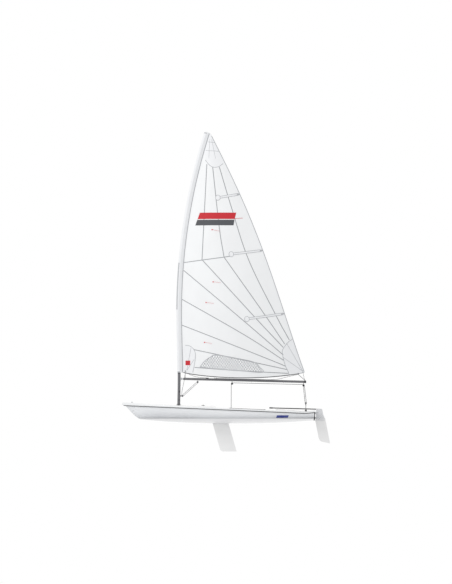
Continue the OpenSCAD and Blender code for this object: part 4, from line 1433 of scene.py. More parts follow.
@dataclass
class Sail:
    """The sleeve sail: cloth, sleeve, seams, patches, battens, window and telltales."""

    shape: SailShape
    cloth: float = 0.001
    across: int = 110
    up: int = 190
    mast_radius: float = 0.03175
    sleeve_wall: float = 0.0016
    sleeve_out: float = 0.0381
    seam_width: float = 0.018
    cross_seam: tuple[Plane, ...] = ((-0.782, 3.43), (-0.351, 3.485), (0.127, 3.545), (0.27, 3.569))
    upper_seams: tuple[tuple[Plane, ...], ...] = (
        ((-0.252, 5.606), (-0.305, 4.56), (-0.358, 3.487)),
        ((-0.124, 5.543), (0.023, 4.195), (0.127, 3.545)),
        ((0.023, 5.543), (0.285, 4.66), (0.666, 3.492), (1.25, 2.303), (1.56, 1.731)),
    )
    lower_seams: tuple[tuple[Plane, ...], ...] = (
        ((-0.351, 3.485), (0.796, 2.233), (1.428, 1.563)),
        ((0.127, 3.545), (1.023, 2.279), (1.463, 1.634)),
        ((-0.76, 3.259), (0.58, 2.125), (1.428, 1.396)),
        ((-0.825, 2.638), (0.629, 1.801), (1.439, 1.277)),
        ((-0.83, 2.066), (1.107, 1.301), (1.487, 1.145)),
        ((-0.543, 1.515), (0.796, 1.229), (1.523, 1.072)),
        ((-0.519, 1.121), (0.5, 1.045), (1.536, 0.991)),
    )
    window: tuple[Plane, ...] = ((-0.4, 1.13), (-0.3, 1.255), (-0.17, 1.345), (-0.041, 1.392),
                                 (0.38, 1.322), (0.78, 1.236), (0.9, 1.13), (0.972, 1.013),
                                 (0.5, 1.048), (0.05, 1.082))
    clew_patch: tuple[Plane, ...] = ((1.628, 1.742), (1.54, 1.68), (1.417, 1.515), (1.415, 1.39),
                                     (1.47, 1.17), (1.53, 1.04), (1.56, 0.955))
    tack_patch: tuple[Plane, ...] = ((-0.73, 1.612), (-0.637, 1.599), (-0.545, 1.53),
                                     (-0.508, 1.45), (-0.503, 1.334), (-0.53, 1.15),
                                     (-0.56, 1.01))
    head_patch: tuple[Plane, ...] = ((0.106, 5.62), (0.0, 5.545), (-0.12, 5.54), (-0.21, 5.6),
                                     (-0.285, 5.7))
    battens: tuple[tuple[Plane, Plane], ...] = (((-0.01, 4.86), (0.481, 4.944)),
                                                ((0.285, 3.612), (0.987, 3.7)),
                                                ((0.629, 2.184), (1.456, 2.306)))
    telltales: tuple[Plane, ...] = ((-0.113, 3.001), (-0.268, 2.548), (-0.303, 1.671),
                                    (-0.135, 4.153))

    def _edge(self, u: float, start: float, end: float, count: int, inset: float) -> list[Plane]:
        """Returns points of the luff or leech, moved in from it.

        Args:
            u: 0 for the luff or 1 for the leech.
            start: the share of the height where it starts.
            end: the share of the height where it ends.
            count: how many steps it has.
            inset: how far in from the edge it lies.

        Returns:
            Points of X and Z.
        """
        v = np.linspace(start, end, count + 1)
        on = self.shape.point(np.full_like(v, u), v)
        shift = inset if u < 0.5 else -inset
        return [(float(x) + shift, float(z)) for x, _, z in on]

    def _foot(self, start: float, end: float, count: int, inset: float) -> list[Plane]:
        """Returns points of the foot between two shares of its length, inset up from it."""
        u = np.linspace(start, end, count + 1)
        on = self.shape.point(u, np.zeros_like(u))
        return [(float(x), float(z) + inset) for x, _, z in on]

    def main_cloth(self) -> Piece:
        """Returns the sail's cloth, two faces and a rim, with the window's hole in it."""
        u = np.sin(np.linspace(0, pi / 2, self.across + 1)) * 0.35 \
            + np.linspace(0, 1, self.across + 1) * 0.65
        v = np.linspace(0, 1, self.up + 1) ** 1.15
        on = self.shape.point(*np.meshgrid(u, v))
        out = to_port(np.gradient(on, axis=1), np.gradient(on, axis=0)) * self.cloth
        near, far = on + out, on - out
        form = Form("sail_cloth")
        made = form.lattice([[Vector(p) for p in (*a, *b[::-1])] for a, b in zip(near, far)],
                            ring=True)
        for row in (made[0], made[-1]):
            for j in range(self.across):
                form.mesh.faces.new([row[j], row[j + 1], row[-j - 2], row[-j - 1]])
        piece = form.done(SAIL, 60.0)
        hole = Form("window_hole")
        hole.slab([xyz(x, -1.0, z) for x, z in curve_through(self._window(0.0))], STARBOARD * 2)
        cut(piece, hole, keep=60.0)
        return piece

    def _window(self, grow: float) -> list[Plane]:
        """Returns the window's outline, grown outwards a little."""
        cx = sum(p[0] for p in self.window) / len(self.window)
        cz = sum(p[1] for p in self.window) / len(self.window)
        outline = []
        for x, z in self.window:
            reach = hypot(x - cx, z - cz)
            outline.append((x + (x - cx) / reach * grow, z + (z - cz) / reach * grow))
        return outline

    def window_pieces(self) -> tuple[Piece, Piece, Piece]:
        """Returns the window's film, the crossing threads in it and the tape round it."""
        film = Drape("window_film", self.shape, 0.0003)
        outline = curve_through(self._window(0.008))
        film.patch(outline)
        scrim = Drape("window_scrim", self.shape, 0.0008)
        low_x, high_x = min(p[0] for p in outline), max(p[0] for p in outline)
        for way in (1, -1):
            for k in range(-30, 60):
                start = low_x + k * 0.056
                hits = []
                for (ax, az), (bx, bz) in zip(outline, outline[1:] + outline[:1]):
                    first = ax - start - way * (az - 1.2) * 0.72
                    second = bx - start - way * (bz - 1.2) * 0.72
                    if first * second < 0:
                        t = first / (first - second)
                        hits.append((mix(ax, bx, t), mix(az, bz, t)))
                if len(hits) == 2 and dist(*hits) > 0.03 and low_x < start + 1 < high_x + 2:
                    scrim.band(sorted(hits), 0.0062, 0.05)
        tape = Drape("window_tape", self.shape, 0.0022)
        tape.band(curve_through([*self._window(0.004), self._window(0.004)[0]]), 0.016)
        return film.done(WINDOW), scrim.done(SCRIM), tape.done(EDGE_TAPE)

    def seams(self) -> Piece:
        """Returns the tapes over the seams between the panels."""
        tape = Drape("panel_seams", self.shape, 0.0017)
        tape.band(self.cross_seam, self.seam_width)
        for line in (*self.upper_seams, *self.lower_seams):
            tape.band(line, self.seam_width, curved=len(line) > 2)
        return tape.done(SEAM)

    def patches(self) -> Piece:
        """Returns the layered patches at the tack, the clew and the head."""
        layers = Drape("corner_patches", self.shape, 0.0014)
        foot = self._foot(0.868, 1.0, 10, 0.004)
        leech = self._edge(1.0, 0.0, 0.14, 8, 0.004)
        clew = [*curve_through(self.clew_patch), *foot, *leech[1:]]
        clew = [p for i, p in enumerate(clew) if i == 0 or dist(p, clew[i - 1]) > 0.004]
        layers.patch(clew)
        tack = [*curve_through(self.tack_patch), *self._foot(0.0, 0.07, 5, 0.004)[::-1],
                *self._edge(0.0, 0.0, 0.1, 8, 0.003)[1:]]
        layers.patch([p for p in tack if p[1] < 1.625])
        leech = self._edge(1.0, 0.885, 0.998, 10, 0.004)
        luff = self._edge(0.0, 0.915, 0.998, 10, 0.003)[::-1]
        layers.patch([*leech, *luff, *self._head_arc()[::-1]], 0.015, lambda _: 0.003)
        return layers.done(PATCH)

    def _head_arc(self) -> list[Plane]:
        """Returns the lower edge of the head's patch, where it lies on the sail."""
        arc = curve_through(self.head_patch)
        shares, _ = self.shape.locate(*np.array(arc).T)
        return [p for p, u in zip(arc, shares) if 0.01 < u < 0.99]

    def patch_edges(self) -> Piece:
        """Returns the stitched rims of the patches and the tapes along leech and foot."""
        tape = Drape("edge_tapes", self.shape, 0.0036)
        for level in (0.925, 0.962):
            u = np.linspace(0.06, 0.96, 9)
            on = self.shape.point(u, np.full_like(u, level))
            tape.band([(float(x), float(z)) for x, _, z in on], 0.009)
        for share in (0.3, 0.62):
            v = np.linspace(0.893, 0.975, 9)
            on = self.shape.point(np.full_like(v, share), v)
            tape.band([(float(x), float(z)) for x, _, z in on], 0.007)
        tape.band(curve_through(self.clew_patch), 0.011)
        tape.band(curve_through(self.tack_patch), 0.011)
        tape.band(self._edge(1.0, 0.004, 0.99, 120, 0.009), 0.016)
        tape.band(self._foot(0.957, 0.99, 6, 0.009), 0.016)
        tape.band(self._head_arc(), 0.011)
        for corner, ends in (((1.86, 1.04), ((1.5, 1.66), (1.43, 1.34))),
                             ((-0.69, 1.06), ((-0.6, 1.55), (-0.53, 1.3)))):
            for end in ends:
                tape.band((corner, end), 0.008)
        return tape.done(EDGE_TAPE)

    def foot_rope(self) -> Piece:
        """Returns the dark tape along the foot, as far as the outhaul's ring."""
        tape = Drape("foot_tape", self.shape, 0.0024)
        tape.band(self._foot(0.004, 0.955, 130, 0.009), 0.017)
        return tape.done(FOOT_TAPE)

    def pockets(self) -> tuple[Piece, Piece, Piece]:
        """Returns the three batten pockets, their end patches, and their stitched rims."""
        pocket = Drape("batten_pockets", self.shape, 0.0026)
        ends = Drape("batten_ends", self.shape, 0.0031)
        rims = Drape("pocket_rims", self.shape, 0.0052)
        for inner, outer in self.battens:
            way = Vector((outer[0] - inner[0], outer[1] - inner[1])).normalized()
            side = Vector((-way.y, way.x))

            def at(along: float, off: float) -> Plane:
                """Returns the place so far along the batten and so far to its side."""
                place = Vector(inner) + way * along + side * off
                return place.x, place.y

            reach = dist(inner, outer)

            def fat(place: Plane) -> float:
                """Returns how far the pocket stands out where the batten fills it."""
                off = (Vector(place) - Vector(inner)).dot(side)
                return 0.002 + 0.003 * max(0.0, 1 - (off / 0.02) ** 2)

            body = [at(0.03, -0.021), at(reach - 0.012, -0.021)]
            body += [at(reach - 0.012, k * 0.007) for k in range(-2, 3)]
            body += [at(reach - 0.012, 0.021), at(0.03, 0.021)]
            body += [at(0.03, -k * 0.007) for k in range(-2, 3)]
            pocket.patch(body, 0.012, fat)
            ends.patch(round_outline(inner, 0.052, 0.058))
            ends.patch([at(reach - 0.1, -0.012), at(reach - 0.02, -0.034), at(reach - 0.004, 0.0),
                        at(reach - 0.02, 0.034), at(reach - 0.1, 0.012)], 0.02)
            for off in (-0.021, 0.021):
                rims.band((at(0.05, off), at(reach - 0.03, off)), 0.0075)
            rims.band(round_outline(inner, 0.052, 0.058), 0.0075, 0.012, closed=True)
            rims.band((at(reach - 0.075, 0.0), at(reach - 0.006, 0.0)), 0.02)
        return pocket.done(POCKET), ends.done(PATCH), rims.done(SEAM)

    def colours(self) -> tuple[Piece, Piece]:
        """Returns the plain red shapes and the plain grey stripe on the sail."""
        red = Drape("red_stripe", self.shape, 0.0044)
        grey = Drape("grey_stripe", self.shape, 0.0044)
        slant = 0.05
        red.patch([(-0.455, 4.39), (0.36, 4.39), (0.395, 4.53), (-0.405, 4.53)])
        red.patch([(-0.72, 1.172), (-0.618, 1.172), (-0.618, 1.272), (-0.72, 1.272)], 0.02)
        red.band(((0.37, 4.4), (0.54, 4.412)), 0.008)
        grey.patch([(-0.455 - slant, 4.25), (0.36 - slant / 2, 4.25), (0.355, 4.372),
                    (-0.463, 4.372)])
        return red.done(RED_CLOTH), grey.done(GREY_CLOTH)

    def yarns(self) -> Piece:
        """Returns the telltales: a yarn on each face of the sail, held by a round sticker."""
        form = Form("telltales")
        for i, (x, z) in enumerate(self.telltales):
            for way in (1, -1):
                xs = np.linspace(x, x + 0.17, 18)
                droop = (xs - x) ** 1.4 * (0.25 + 0.07 * i) * (1 if way > 0 else 1.6)
                on, normal = self.shape.lay(xs, z - droop)
                swing = 0.0024 + 0.02 * ((xs - x) / 0.17) ** 2
                path = [Vector(p) for p in on + normal * (swing * way)[:, None]]
                form.sweep(path, 0.0022, 6)
                disc_at, face = self.shape.lay(np.array([x]), np.array([z]))
                out = Vector(face[0]) * way
                form.turn([(0.0, 0.014), (0.0022, 0.014), (0.0026, 0.012), (0.0026, 0.0)],
                          Vector(disc_at[0]), out, 24)
        return form.done(YARN)

    def rings(self) -> Piece:
        """Returns the pressed steel rings at the tack, the clew, the foot and the head."""
        form = Form("cringles")
        for x, z, radius in ((-0.722, 1.045, 0.016), (1.868, 1.03, 0.019), (1.757, 0.985, 0.014),
                             (-0.335, 6.19, 0.011)):
            on, face = self.shape.lay(np.array([x]), np.array([z]))
            out = Vector(face[0])
            section = [(0.0042 * sin(a), radius * (1 - 0.3 * cos(a)))
                       for a in turns(12, 13)]
            form.turn(section, Vector(on[0]), out, 32)
        return form.done(STEEL)

    def _teardrop(self, out: float, tip: float) -> list[Plane]:
        """Returns the sleeve's section.

        Args:
            out: the radius of its round front.
            tip: half its width at the back.

        Returns:
            Points aft of the mast's centre and across.
        """
        back = 0.085
        start = 58
        front = [(out * cos(radians(a)), out * sin(radians(a)))
                 for a in range(start, 361 - start, 8)]
        near, far = front[0], front[-1]
        ease = [k / 5 for k in range(1, 5)]
        up = [(mix(near[0], back, t), mix(near[1], tip, t ** 0.9)) for t in ease]
        down = [(mix(far[0], back, t), mix(far[1], -tip, t ** 0.9)) for t in ease]
        return [*front, *down, (back, -tip), (back, tip), *up[::-1]]

    def sleeve(self) -> Piece:
        """Returns the sleeve, a closed double wall round the mast from tack to head."""
        form = Form("luff_sleeve")
        outer_rows, inner_rows = [], []
        for k in range(151):
            v = k / 150
            distance = mix(self.shape.tack, self.shape.head - 0.006, v)
            top = max(0.0, (distance - (self.shape.head - 0.03)) / 0.024)
            pinch = 1 - 0.16 * top ** 2
            pucker = 0.0006 * sin(k * 2.4) + 0.0004 * sin(k * 5.3)
            outer_rows.append(self.shape.mast.ring(
                distance, self._teardrop((self.sleeve_out + pucker) * pinch, 0.0028)))
            inner_rows.append(self.shape.mast.ring(
                distance, self._teardrop((self.sleeve_out - self.sleeve_wall) * pinch, 0.0012)))
        outer = form.lattice(outer_rows, ring=True, measure=True)
        inner = form.lattice(inner_rows, ring=True, measure=True, flip=True)
        form.bridge(outer[0], inner[0])
        form.bridge(outer[-1], inner[-1])
        return form.done(SLEEVE, 60.0)

    def sleeve_trim(self) -> Piece:
        """Returns the sleeve's chafe panel, its hems and the seam along its back."""
        form = Form("sleeve_trim")
        mast = self.shape.mast
        arc = [radians(a) for a in range(110, 251, 10)]

        def wrap(start: float, end: float, angles: Sequence[float], out: float) -> None:
            """Wraps a strip round part of the sleeve between two distances from the heel."""
            count = max(2, round((end - start) / 0.04))
            shape = [(reach * cos(a), reach * sin(a))
                     for reach, order in ((self.sleeve_out + out, angles),
                                          (self.sleeve_out - 0.0004, angles[::-1])) for a in order]
            form.lattice([mast.ring(mix(start, end, k / count), shape) for k in range(count + 1)],
                         ring=True, caps=True, measure=True)

        wrap(2.43, 3.46, arc, 0.0016)
        full = [radians(a) for a in range(64, 297, 8)]
        wrap(1.041, 1.066, full, 0.0014)
        wrap(6.375, 6.395, full, 0.0014)
        for side in (-1, 1):
            shape = [(x, side * y) for x, y in (
                (0.066, 0.0092), (0.066, 0.0112), (0.084, 0.0044), (0.084, 0.0028))]
            form.lattice([mast.ring(mix(self.shape.tack, self.shape.head - 0.02, k / 135), shape)
                          for k in range(136)], ring=True, caps=True, measure=True)
        return form.done(EDGE_TAPE, 60.0)

    def dress(self) -> None:
        cloth = fit(self.main_cloth(), "rig", "sail_body")
        sleeve = fit(self.sleeve(), "rig", "sail_sleeve")
        trim = fit(self.sleeve_trim(), "rig")
        film, scrim, tape = self.window_pieces()
        marks = [self.seams(), self.patches(), self.patch_edges(), self.foot_rope(),
                 *self.pockets(), *self.colours(), self.yarns(), self.rings(), scrim, tape]
        for made in (film, *marks):
            fit(made, "rig")


# ---- spars, blocks and ropes -------------------------------------------------------------------
@dataclass(frozen=True)
class Block:
    """A rope block: two rounded cheeks, a grooved sheave, a pin and a strap to its eye."""

    centre: Vector
    radius: float
    wide: float = 0.018
    axis: Vector = field(default_factory=STARBOARD.copy)

    def build(self, form: Form) -> None:
        """Adds the block to a mesh.

        Args:
            form: the mesh.
        """
        half = self.wide / 2
        for way in (-1, 1):
            cheek = [(half + d, self.radius * r) for d, r in (
                (-0.0034, 0.0), (-0.0034, 0.9), (-0.0026, 0.97), (-0.0016, 1.0), (-0.0006, 0.97),
                (0.0, 0.88), (-0.0005, 0.55), (0.0002, 0.5), (0.0004, 0.0))]
            form.turn(cheek, self.centre, self.axis * way, 40)
            form.turn([(half, 0.005), (half + 0.0014, 0.005), (half + 0.002, 0.0036),
                       (half + 0.002, 0.0)], self.centre, self.axis * way, 20)
        rim, groove = self.radius - 0.003, self.radius - 0.0075
        reach = half - 0.0042
        sheave = [(-reach, 0.004), (-reach, rim), (-reach + 0.0006, rim)]
        sheave += [(k / 4 * (reach - 0.001), mix(groove, rim, (k / 4) ** 2)) for k in range(-4, 5)]
        sheave += [(reach - 0.0006, rim), (reach, rim), (reach, 0.004)]
        form.turn(sheave, self.centre, self.axis, 40)

    def strap(self, form: Form, eye: Vector) -> None:
        """Adds the bent strap from the cheeks up or down to an eye.

        Args:
            form: the mesh.
            eye: where the strap's bend is.
        """
        half = self.axis * (self.wide / 2 + 0.0008)
        reach = eye - self.centre
        path = [self.centre + half * across + reach * along for across, along in (
            (1, 0), (1, 0.55), (0.6, 0.86), (0, 1), (-0.6, 0.86), (-1, 0.55), (-1, 0))]
        side = self.axis.cross(reach).normalized()
        form.sweep(rounded(path, 0.003), 0.0052, 8, flat=0.2, up=self.axis)
        form.turn([(-0.004, 0.0036), (0.004, 0.0036)], eye, side, 12)


@dataclass
class Spars:
    """The mast below its sleeve, the upper section, the boom and what is fixed to them."""

    mast: MastLine
    mast_radius: float = 0.03175
    lower_end: float = 2.865
    plug: float = 0.02
    boom_droop: float = radians(1.4)
    boom_radius: float = 0.0255

    def on_boom(self, along: float, drop: float, across: float = 0.0) -> Vector:
        """Returns a place by the boom.

        Args:
            along: the distance from the boom's front end.
            drop: how far under its centre line.
            across: how far to starboard.

        Returns:
            The place.
        """
        low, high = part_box("boom")
        down = xyz(-sin(self.boom_droop), 0, -cos(self.boom_droop))
        aft = xyz(cos(self.boom_droop), 0, -sin(self.boom_droop))
        front = xyz(low.x, 0, high.z) + xyz(-down.x, 0, down.z) * self.boom_radius
        return front + aft * along + down * drop + STARBOARD * across

    def lower_mast(self) -> Piece:
        """Returns the lower mast section, smooth along its bend."""
        form = Form("lower_mast_tube")
        path = []
        for k in range(72):
            x, z, _ = self.mast.at(mix(self.plug, self.lower_end, k / 71))
            path.append(xyz(x, 0, z))
        form.sweep(path, self.mast_radius, 48, up=AFT)
        return form.done(SPAR_UP, 50.0)

    def mast_fittings(self) -> Piece:
        """Returns the cleats, bands and rivets on the mast between deck and sleeve."""
        form = Form("mast_fittings")
        for distance, height in ((0.345, 0.006), (1.02, 0.01)):
            x, z, lean = self.mast.at(distance)
            axis = xyz(sin(lean), 0, cos(lean))
            form.turn([(0, self.mast_radius), (0.001, self.mast_radius + 0.0022),
                       (height, self.mast_radius + 0.0022), (height + 0.001, self.mast_radius)],
                      xyz(x, 0, z), axis, 48)
        for distance, side in ((0.62, -1), (0.7, 1), (0.44, -1)):
            x, z, lean = self.mast.at(distance)
            base = xyz(x + 0.006, side * (self.mast_radius + 0.003), z)
            form.slab([base + xyz(a, 0, b) for a, b in round_outline((0, 0), 0.008, 0.024, 20)],
                      STARBOARD * side * 0.004)
            for lift in (-0.02, 0.02):
                form.sweep([base + xyz(0, side * y, lift * z) for y, z in (
                    (0.003, 0.5), (0.012, 0.75), (0.015, 1.3))], 0.0034, 10)
        return form.done(BLACK_MOULD)

    def rivets(self) -> Piece:
        """Returns the rivet heads on mast and boom."""
        form = Form("spar_rivets")
        for distance in (0.505, 0.545, 0.9, 0.935):
            x, z, _ = self.mast.at(distance)
            for side in (-1, 1):
                a = radians(58)
                out = xyz(cos(a), side * sin(a), 0)
                form.screw(xyz(x, 0, z) + out * (self.mast_radius - 0.0002), out, 0.0032)
        for along in (0.02, 0.29, 0.33, 1.045, 1.09, 2.61, 2.67):
            for side in (-1, 1):
                place = self.on_boom(along, 0.0, side * (self.boom_radius - 0.0002))
                form.screw(place, STARBOARD * side, 0.0032)
        return form.done(STEEL)

    def boom_fittings(self) -> Piece:
        """Returns the cleats and fairleads that the lines run to on the boom."""
        form = Form("boom_fittings")
        for along, side in ((0.52, -1), (0.7, 1)):
            base = self.on_boom(along, -self.boom_radius + 0.004, side * 0.008)
            form.slab([base + xyz(a, b, 0) for a, b in round_outline((0, 0), 0.03, 0.009, 24)],
                      xyz(0, 0, 0.006))
            for reach in (-0.02, 0.02):
                form.sweep([base + xyz(reach * x, 0, z) for x, z in (
                    (0.4, 0.005), (0.7, 0.014), (1.4, 0.018))], 0.0038, 10)
        under, over = -self.boom_radius - 0.004, self.boom_radius + 0.006
        for drop, width, height, places in ((under, 0.008, 0.006, (1.5, 2.0, 2.675)),
                                            (over, 0.009, 0.008, (1.5, 2.2))):
            for along in places:
                form.sweep([self.on_boom(along, drop) + xyz(0, width * cos(a), height * sin(a))
                            for a in turns(24, 25)], 0.0018, 8, caps=False, up=AFT)
        return form.done(BLACK_MOULD)

    def dress(self) -> None:
        """Builds the spars' pieces and gives each its body and nodes."""
        fit(self.lower_mast(), "rig", "lower_mast")
        for made in (self.mast_fittings(), self.rivets(), self.boom_fittings()):
            fit(made, "rig")
        ease("rig", ("gooseneck", "gooseneck_casting", STEEL, 0.0015),
             ("boom_end_caps", "boom_plugs", BLACK_MOULD, 0.0012),
             ("masthead_cap", "masthead_plug", BLACK_MOULD, 0.0015))
        wear(SPAR_UP, "upper_mast")
        wear(BLACK_MOULD, "mast_collar", "mast_heel_plug")
        wear(SPAR_LONG, "boom")


@dataclass
class Tackle:
    """The mainsheet, vang, outhaul, cunningham and traveller, with their blocks."""

    spars: Spars
    sail: SailShape
    sheet_radius: float = 0.0048
    line_radius: float = 0.0038
    traveller_radius: float = 0.003
    boom_block: float = 0.024
    vang_block: float = 0.02
    sheave: float = 0.018

    def __post_init__(self) -> None:
        """Works out where the blocks hang from the frame's nodes."""
        self.mid, self.end, self.car, self.vang_low, self.vang_high, self.ratchet = (
            centre_of(node) for node in ("boom_middle_block", "boom_end_block", "traveller_block",
                                         "vang_mast_block", "vang_boom_block", "ratchet_block"))
        for place in (self.mid, self.end, self.car, self.vang_low, self.vang_high):
            place.y = 0.0
        self.mid.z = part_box("boom_middle_block")[0].z + self.boom_block
        self.end.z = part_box("boom_end_block")[0].z + self.boom_block
        low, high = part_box("traveller_block")
        self.car.z = high.z - self.vang_block
        self.car_low = xyz(self.car.x, 0, low.z + self.vang_block)
        self.vang_low.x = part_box("vang_mast_block")[1].x - self.vang_block
        self.vang_high.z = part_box("vang_boom_block")[0].z + self.vang_block
        self.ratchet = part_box("ratchet_block")[0] + xyz(0.022, 0, 0.0215)
        self.ratchet.y = 0.038
        self.lead_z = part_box("traveller_fairleads")[1].z - 0.009

    def boom_blocks(self) -> tuple[Piece, Piece]:
        """Returns the two blocks that hang under the boom."""
        made = []
        for name, centre in (("mid_boom_block", self.mid), ("end_boom_block", self.end)):
            form = Form(name)
            block = Block(centre, self.boom_block)
            block.build(form)
            block.strap(form, centre + UP * (self.boom_block + 0.021))
            form.turn([(-0.012, 0.005), (0.0, 0.005), (0.001, 0.0095), (0.0035, 0.0095)],
                      centre + UP * (self.boom_block + 0.031), UP, 20)
            if name == "end_boom_block":
                becket = centre - UP * (self.boom_block - 0.002)
                form.sweep([becket + xyz(x, 0, z) for x, z in (
                    (-0.006, 0.004), (-0.004, -0.006), (0.004, -0.006), (0.006, 0.004))], 0.0018, 8)
            made.append(form.done(BLACK_MOULD))
        return made[0], made[1]

    def vang_blocks(self) -> tuple[Piece, Piece]:
        """Returns the vang's mast block with its tang, and its boom block with its key."""
        low = Form("vang_low_block")
        Block(self.vang_low, self.vang_block).build(low)
        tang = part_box("vang_mast_block")[0]
        for side in (-1, 1):
            outline = [xyz(x, side * 0.0045, self.vang_low.z + z) for x, z in (
                (tang.x + 0.001, -0.012), (self.vang_low.x - 0.006, -0.007),
                (self.vang_low.x + 0.004, -0.004), (self.vang_low.x + 0.004, 0.004),
                (self.vang_low.x - 0.006, 0.007), (tang.x + 0.001, 0.012))]
            low.slab(outline, xyz(0, side * 0.0016, 0))
        high = Form("vang_high_block")
        block = Block(self.vang_high, self.vang_block)
        block.build(high)
        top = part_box("vang_boom_block")[1].z - 0.001
        block.strap(high, xyz(self.vang_high.x, 0, top - 0.006))
        return low.done(GREY_MOULD), high.done(GREY_MOULD)

    def hull_blocks(self) -> tuple[Piece, Piece]:
        """Returns the traveller's double block and the ratchet block in the cockpit."""
        car = Form("traveller_car")
        Block(self.car, self.vang_block).build(car)
        Block(self.car_low, self.vang_block, axis=AFT).build(car)
        for way in (-1, 1):
            car.turn([(-0.009, 0.003), (0.009, 0.003)],
                     self.car_low + xyz(0, way * 0.006, 0.018), UP, 12)
        ratchet = Form("ratchet_sheave")
        Block(self.ratchet, 0.0195, 0.02).build(ratchet)
        base_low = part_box("ratchet_block")[0].z
        centre = xyz(self.ratchet.x, 0.0, base_low)
        ratchet.turn([(0.0, 0.0218), (0.0035, 0.0218), (0.0055, 0.019), (0.006, 0.009),
                      (0.032, 0.0078), (0.038, 0.0066), (0.04, 0.003), (0.04, 0.0)],
                     centre, UP, 36)
        ratchet.sweep([centre + xyz(0, 0.004, 0.024), centre + xyz(0, 0.02, 0.026),
                       xyz(self.ratchet.x, 0.028, self.ratchet.z + 0.004)], 0.0045, 12)
        for a in range(3):
            turn = tau * a / 3
            ratchet.screw(centre + xyz(0.0165 * cos(turn), 0.0165 * sin(turn),
                                            0.0042), UP, 0.003)
        return car.done(GREY_MOULD), ratchet.done(BLACK_MOULD)

    def _arc(self, centre: Vector, start: float, end: float, radius: float) -> list[Vector]:
        """Returns points round a sheave whose pin lies along Y.

        Args:
            centre: the sheave's centre.
            start: the first angle in degrees, from +X towards +Z.
            end: the last angle.
            radius: how far out they lie.

        Returns:
            The points.
        """
        count = max(2, round(abs(end - start) / 12))
        return [centre + xyz(cos(a), 0, sin(a)) * radius
                for a in (radians(mix(start, end, k / count)) for k in range(count + 1))]

    def mid_fall(self) -> Piece:
        """Returns the mainsheet from its stopper knot round the ratchet block to the boom."""
        form = Form("mainsheet_fall")
        low = self._arc(self.ratchet, -95, 0, self.sheave - 0.003)
        high = self.mid + xyz(-self.sheave, 0, 0)
        start = low[-1]
        straight = between(start, high, 48)
        tail = [self.ratchet + xyz(-0.062, 0.0, -0.0075),
                self.ratchet + xyz(-0.03, 0.0, -0.0125)]
        knot = [tail[0] + xyz(-0.0016 * a, 0.0085 * cos(a), 0.0085 * sin(a))
                 for a in turns(14, 40)]
        form.sweep(knot, self.sheet_radius, up=AFT)
        form.sweep([*tail, *low, *straight], self.sheet_radius, up=STARBOARD)
        return form.done(ROPE, 60.0)

    def boom_run(self) -> Piece:
        """Returns the part of the mainsheet that runs along under the boom."""
        form = Form("mainsheet_run")
        start = self._arc(self.mid, 180, 88.6, self.sheave)
        end = self._arc(self.end, 88.6, 0, self.sheave)
        form.sweep([*start, *between(start[-1], end[0], 60), *end[1:]], self.sheet_radius,
                   up=STARBOARD)
        return form.done(ROPE, 60.0)

    def end_falls(self) -> Piece:
        """Returns the two parts of the mainsheet between the boom's end and the traveller."""
        form = Form("mainsheet_purchase")
        reach = self.vang_block - 0.0055
        top = self.end + AFT * self.sheave
        down = [top, *between(top, self.car + AFT * reach, 30)]
        under = self._arc(self.car, 0, -180, reach)[1:]
        becket = self.end - xyz(0.004, 0, self.boom_block - 0.001)
        form.sweep([*down, *under, *between(under[-1], becket, 30)], self.sheet_radius,
                   up=STARBOARD)
        return form.done(ROPE, 60.0)

    def vang_line(self) -> Piece:
        """Returns the vang's rope, a loop round both of its blocks."""
        form = Form("vang_line")
        way = (self.vang_high - self.vang_low).normalized()
        lean = degrees(atan2(way.z, way.x))
        reach = 0.014
        top = self._arc(self.vang_high, lean - 90, lean + 90, reach)
        bottom = self._arc(self.vang_low, lean + 90, lean + 270, reach)
        form.sweep([*top, *between(top[-1], bottom[0], 20), *bottom[1:],
                    *between(bottom[-1], top[0], 20)], self.line_radius, caps=False, up=STARBOARD)
        return form.done(LINE, 60.0)

    def control_lines(self) -> Piece:
        """Returns the cunningham at the tack and the outhaul at the clew."""
        form = Form("control_lines")
        low = self.vang_low
        face, _ = self.sail.lay(np.array([-0.722, 1.757, 1.868]), np.array([1.045, 0.972, 1.016]))
        tack, foot, clew = (Vector(place) for place in face)
        beside = -0.03
        front = self.spars.on_boom(0.012, -0.01, beside)
        cunningham = [tack + xyz(0, -0.006, -0.004), xyz(tack.x - 0.004, -0.016, 0.99),
                      xyz(front.x + 0.012, beside, front.z + 0.05),
                      front + xyz(0.004, 0, -0.02), xyz(low.x - 0.005, -0.026, 0.62),
                      xyz(low.x - 0.018, -0.0165, low.z + 0.012)]
        end = self.spars.on_boom(2.672, -self.spars.boom_radius - 0.004)
        block = self.spars.on_boom(1.5, -self.spars.boom_radius - 0.0036)
        runs = [
            (cunningham, 0.02, 0.0),
            ([cunningham[0], xyz(tack.x - 0.004, 0.012, 0.985),
              xyz(front.x + 0.02, 0.03, front.z + 0.04), self.spars.on_boom(0.05, 0.0, 0.0292)],
             0.02, 0.0),
            ([tack + xyz(0.004, -0.005, -0.004), xyz(-0.64, -0.006, 0.972),
              xyz(-0.47, -0.007, 0.914), self.spars.on_boom(0.5, -0.034, -0.008),
              self.spars.on_boom(0.54, -0.03, -0.008)], 0.02, 0.0),
            ([foot + xyz(-0.004, -0.004, -0.004), foot.lerp(block, 0.22) + xyz(0, -0.004, -0.03),
              self.spars.on_boom(2.0, -0.034), block,
              self.spars.on_boom(0.72, -self.spars.boom_radius - 0.003, 0.006)], 0.03, 0.0),
            ([clew, xyz(clew.x + 0.012, 0.0, 0.93), end], 0.02, -0.0008),
        ]
        runs += [([p + STARBOARD * shift for p in (foot, foot.lerp(end, 0.5), end)], 0.02, 0.0008)
                 for shift in (-0.0042, 0.0042)]
        for path, step, thicker in runs:
            form.sweep(rounded(path, step), self.line_radius + thicker)
        return form.done(LINE, 60.0)

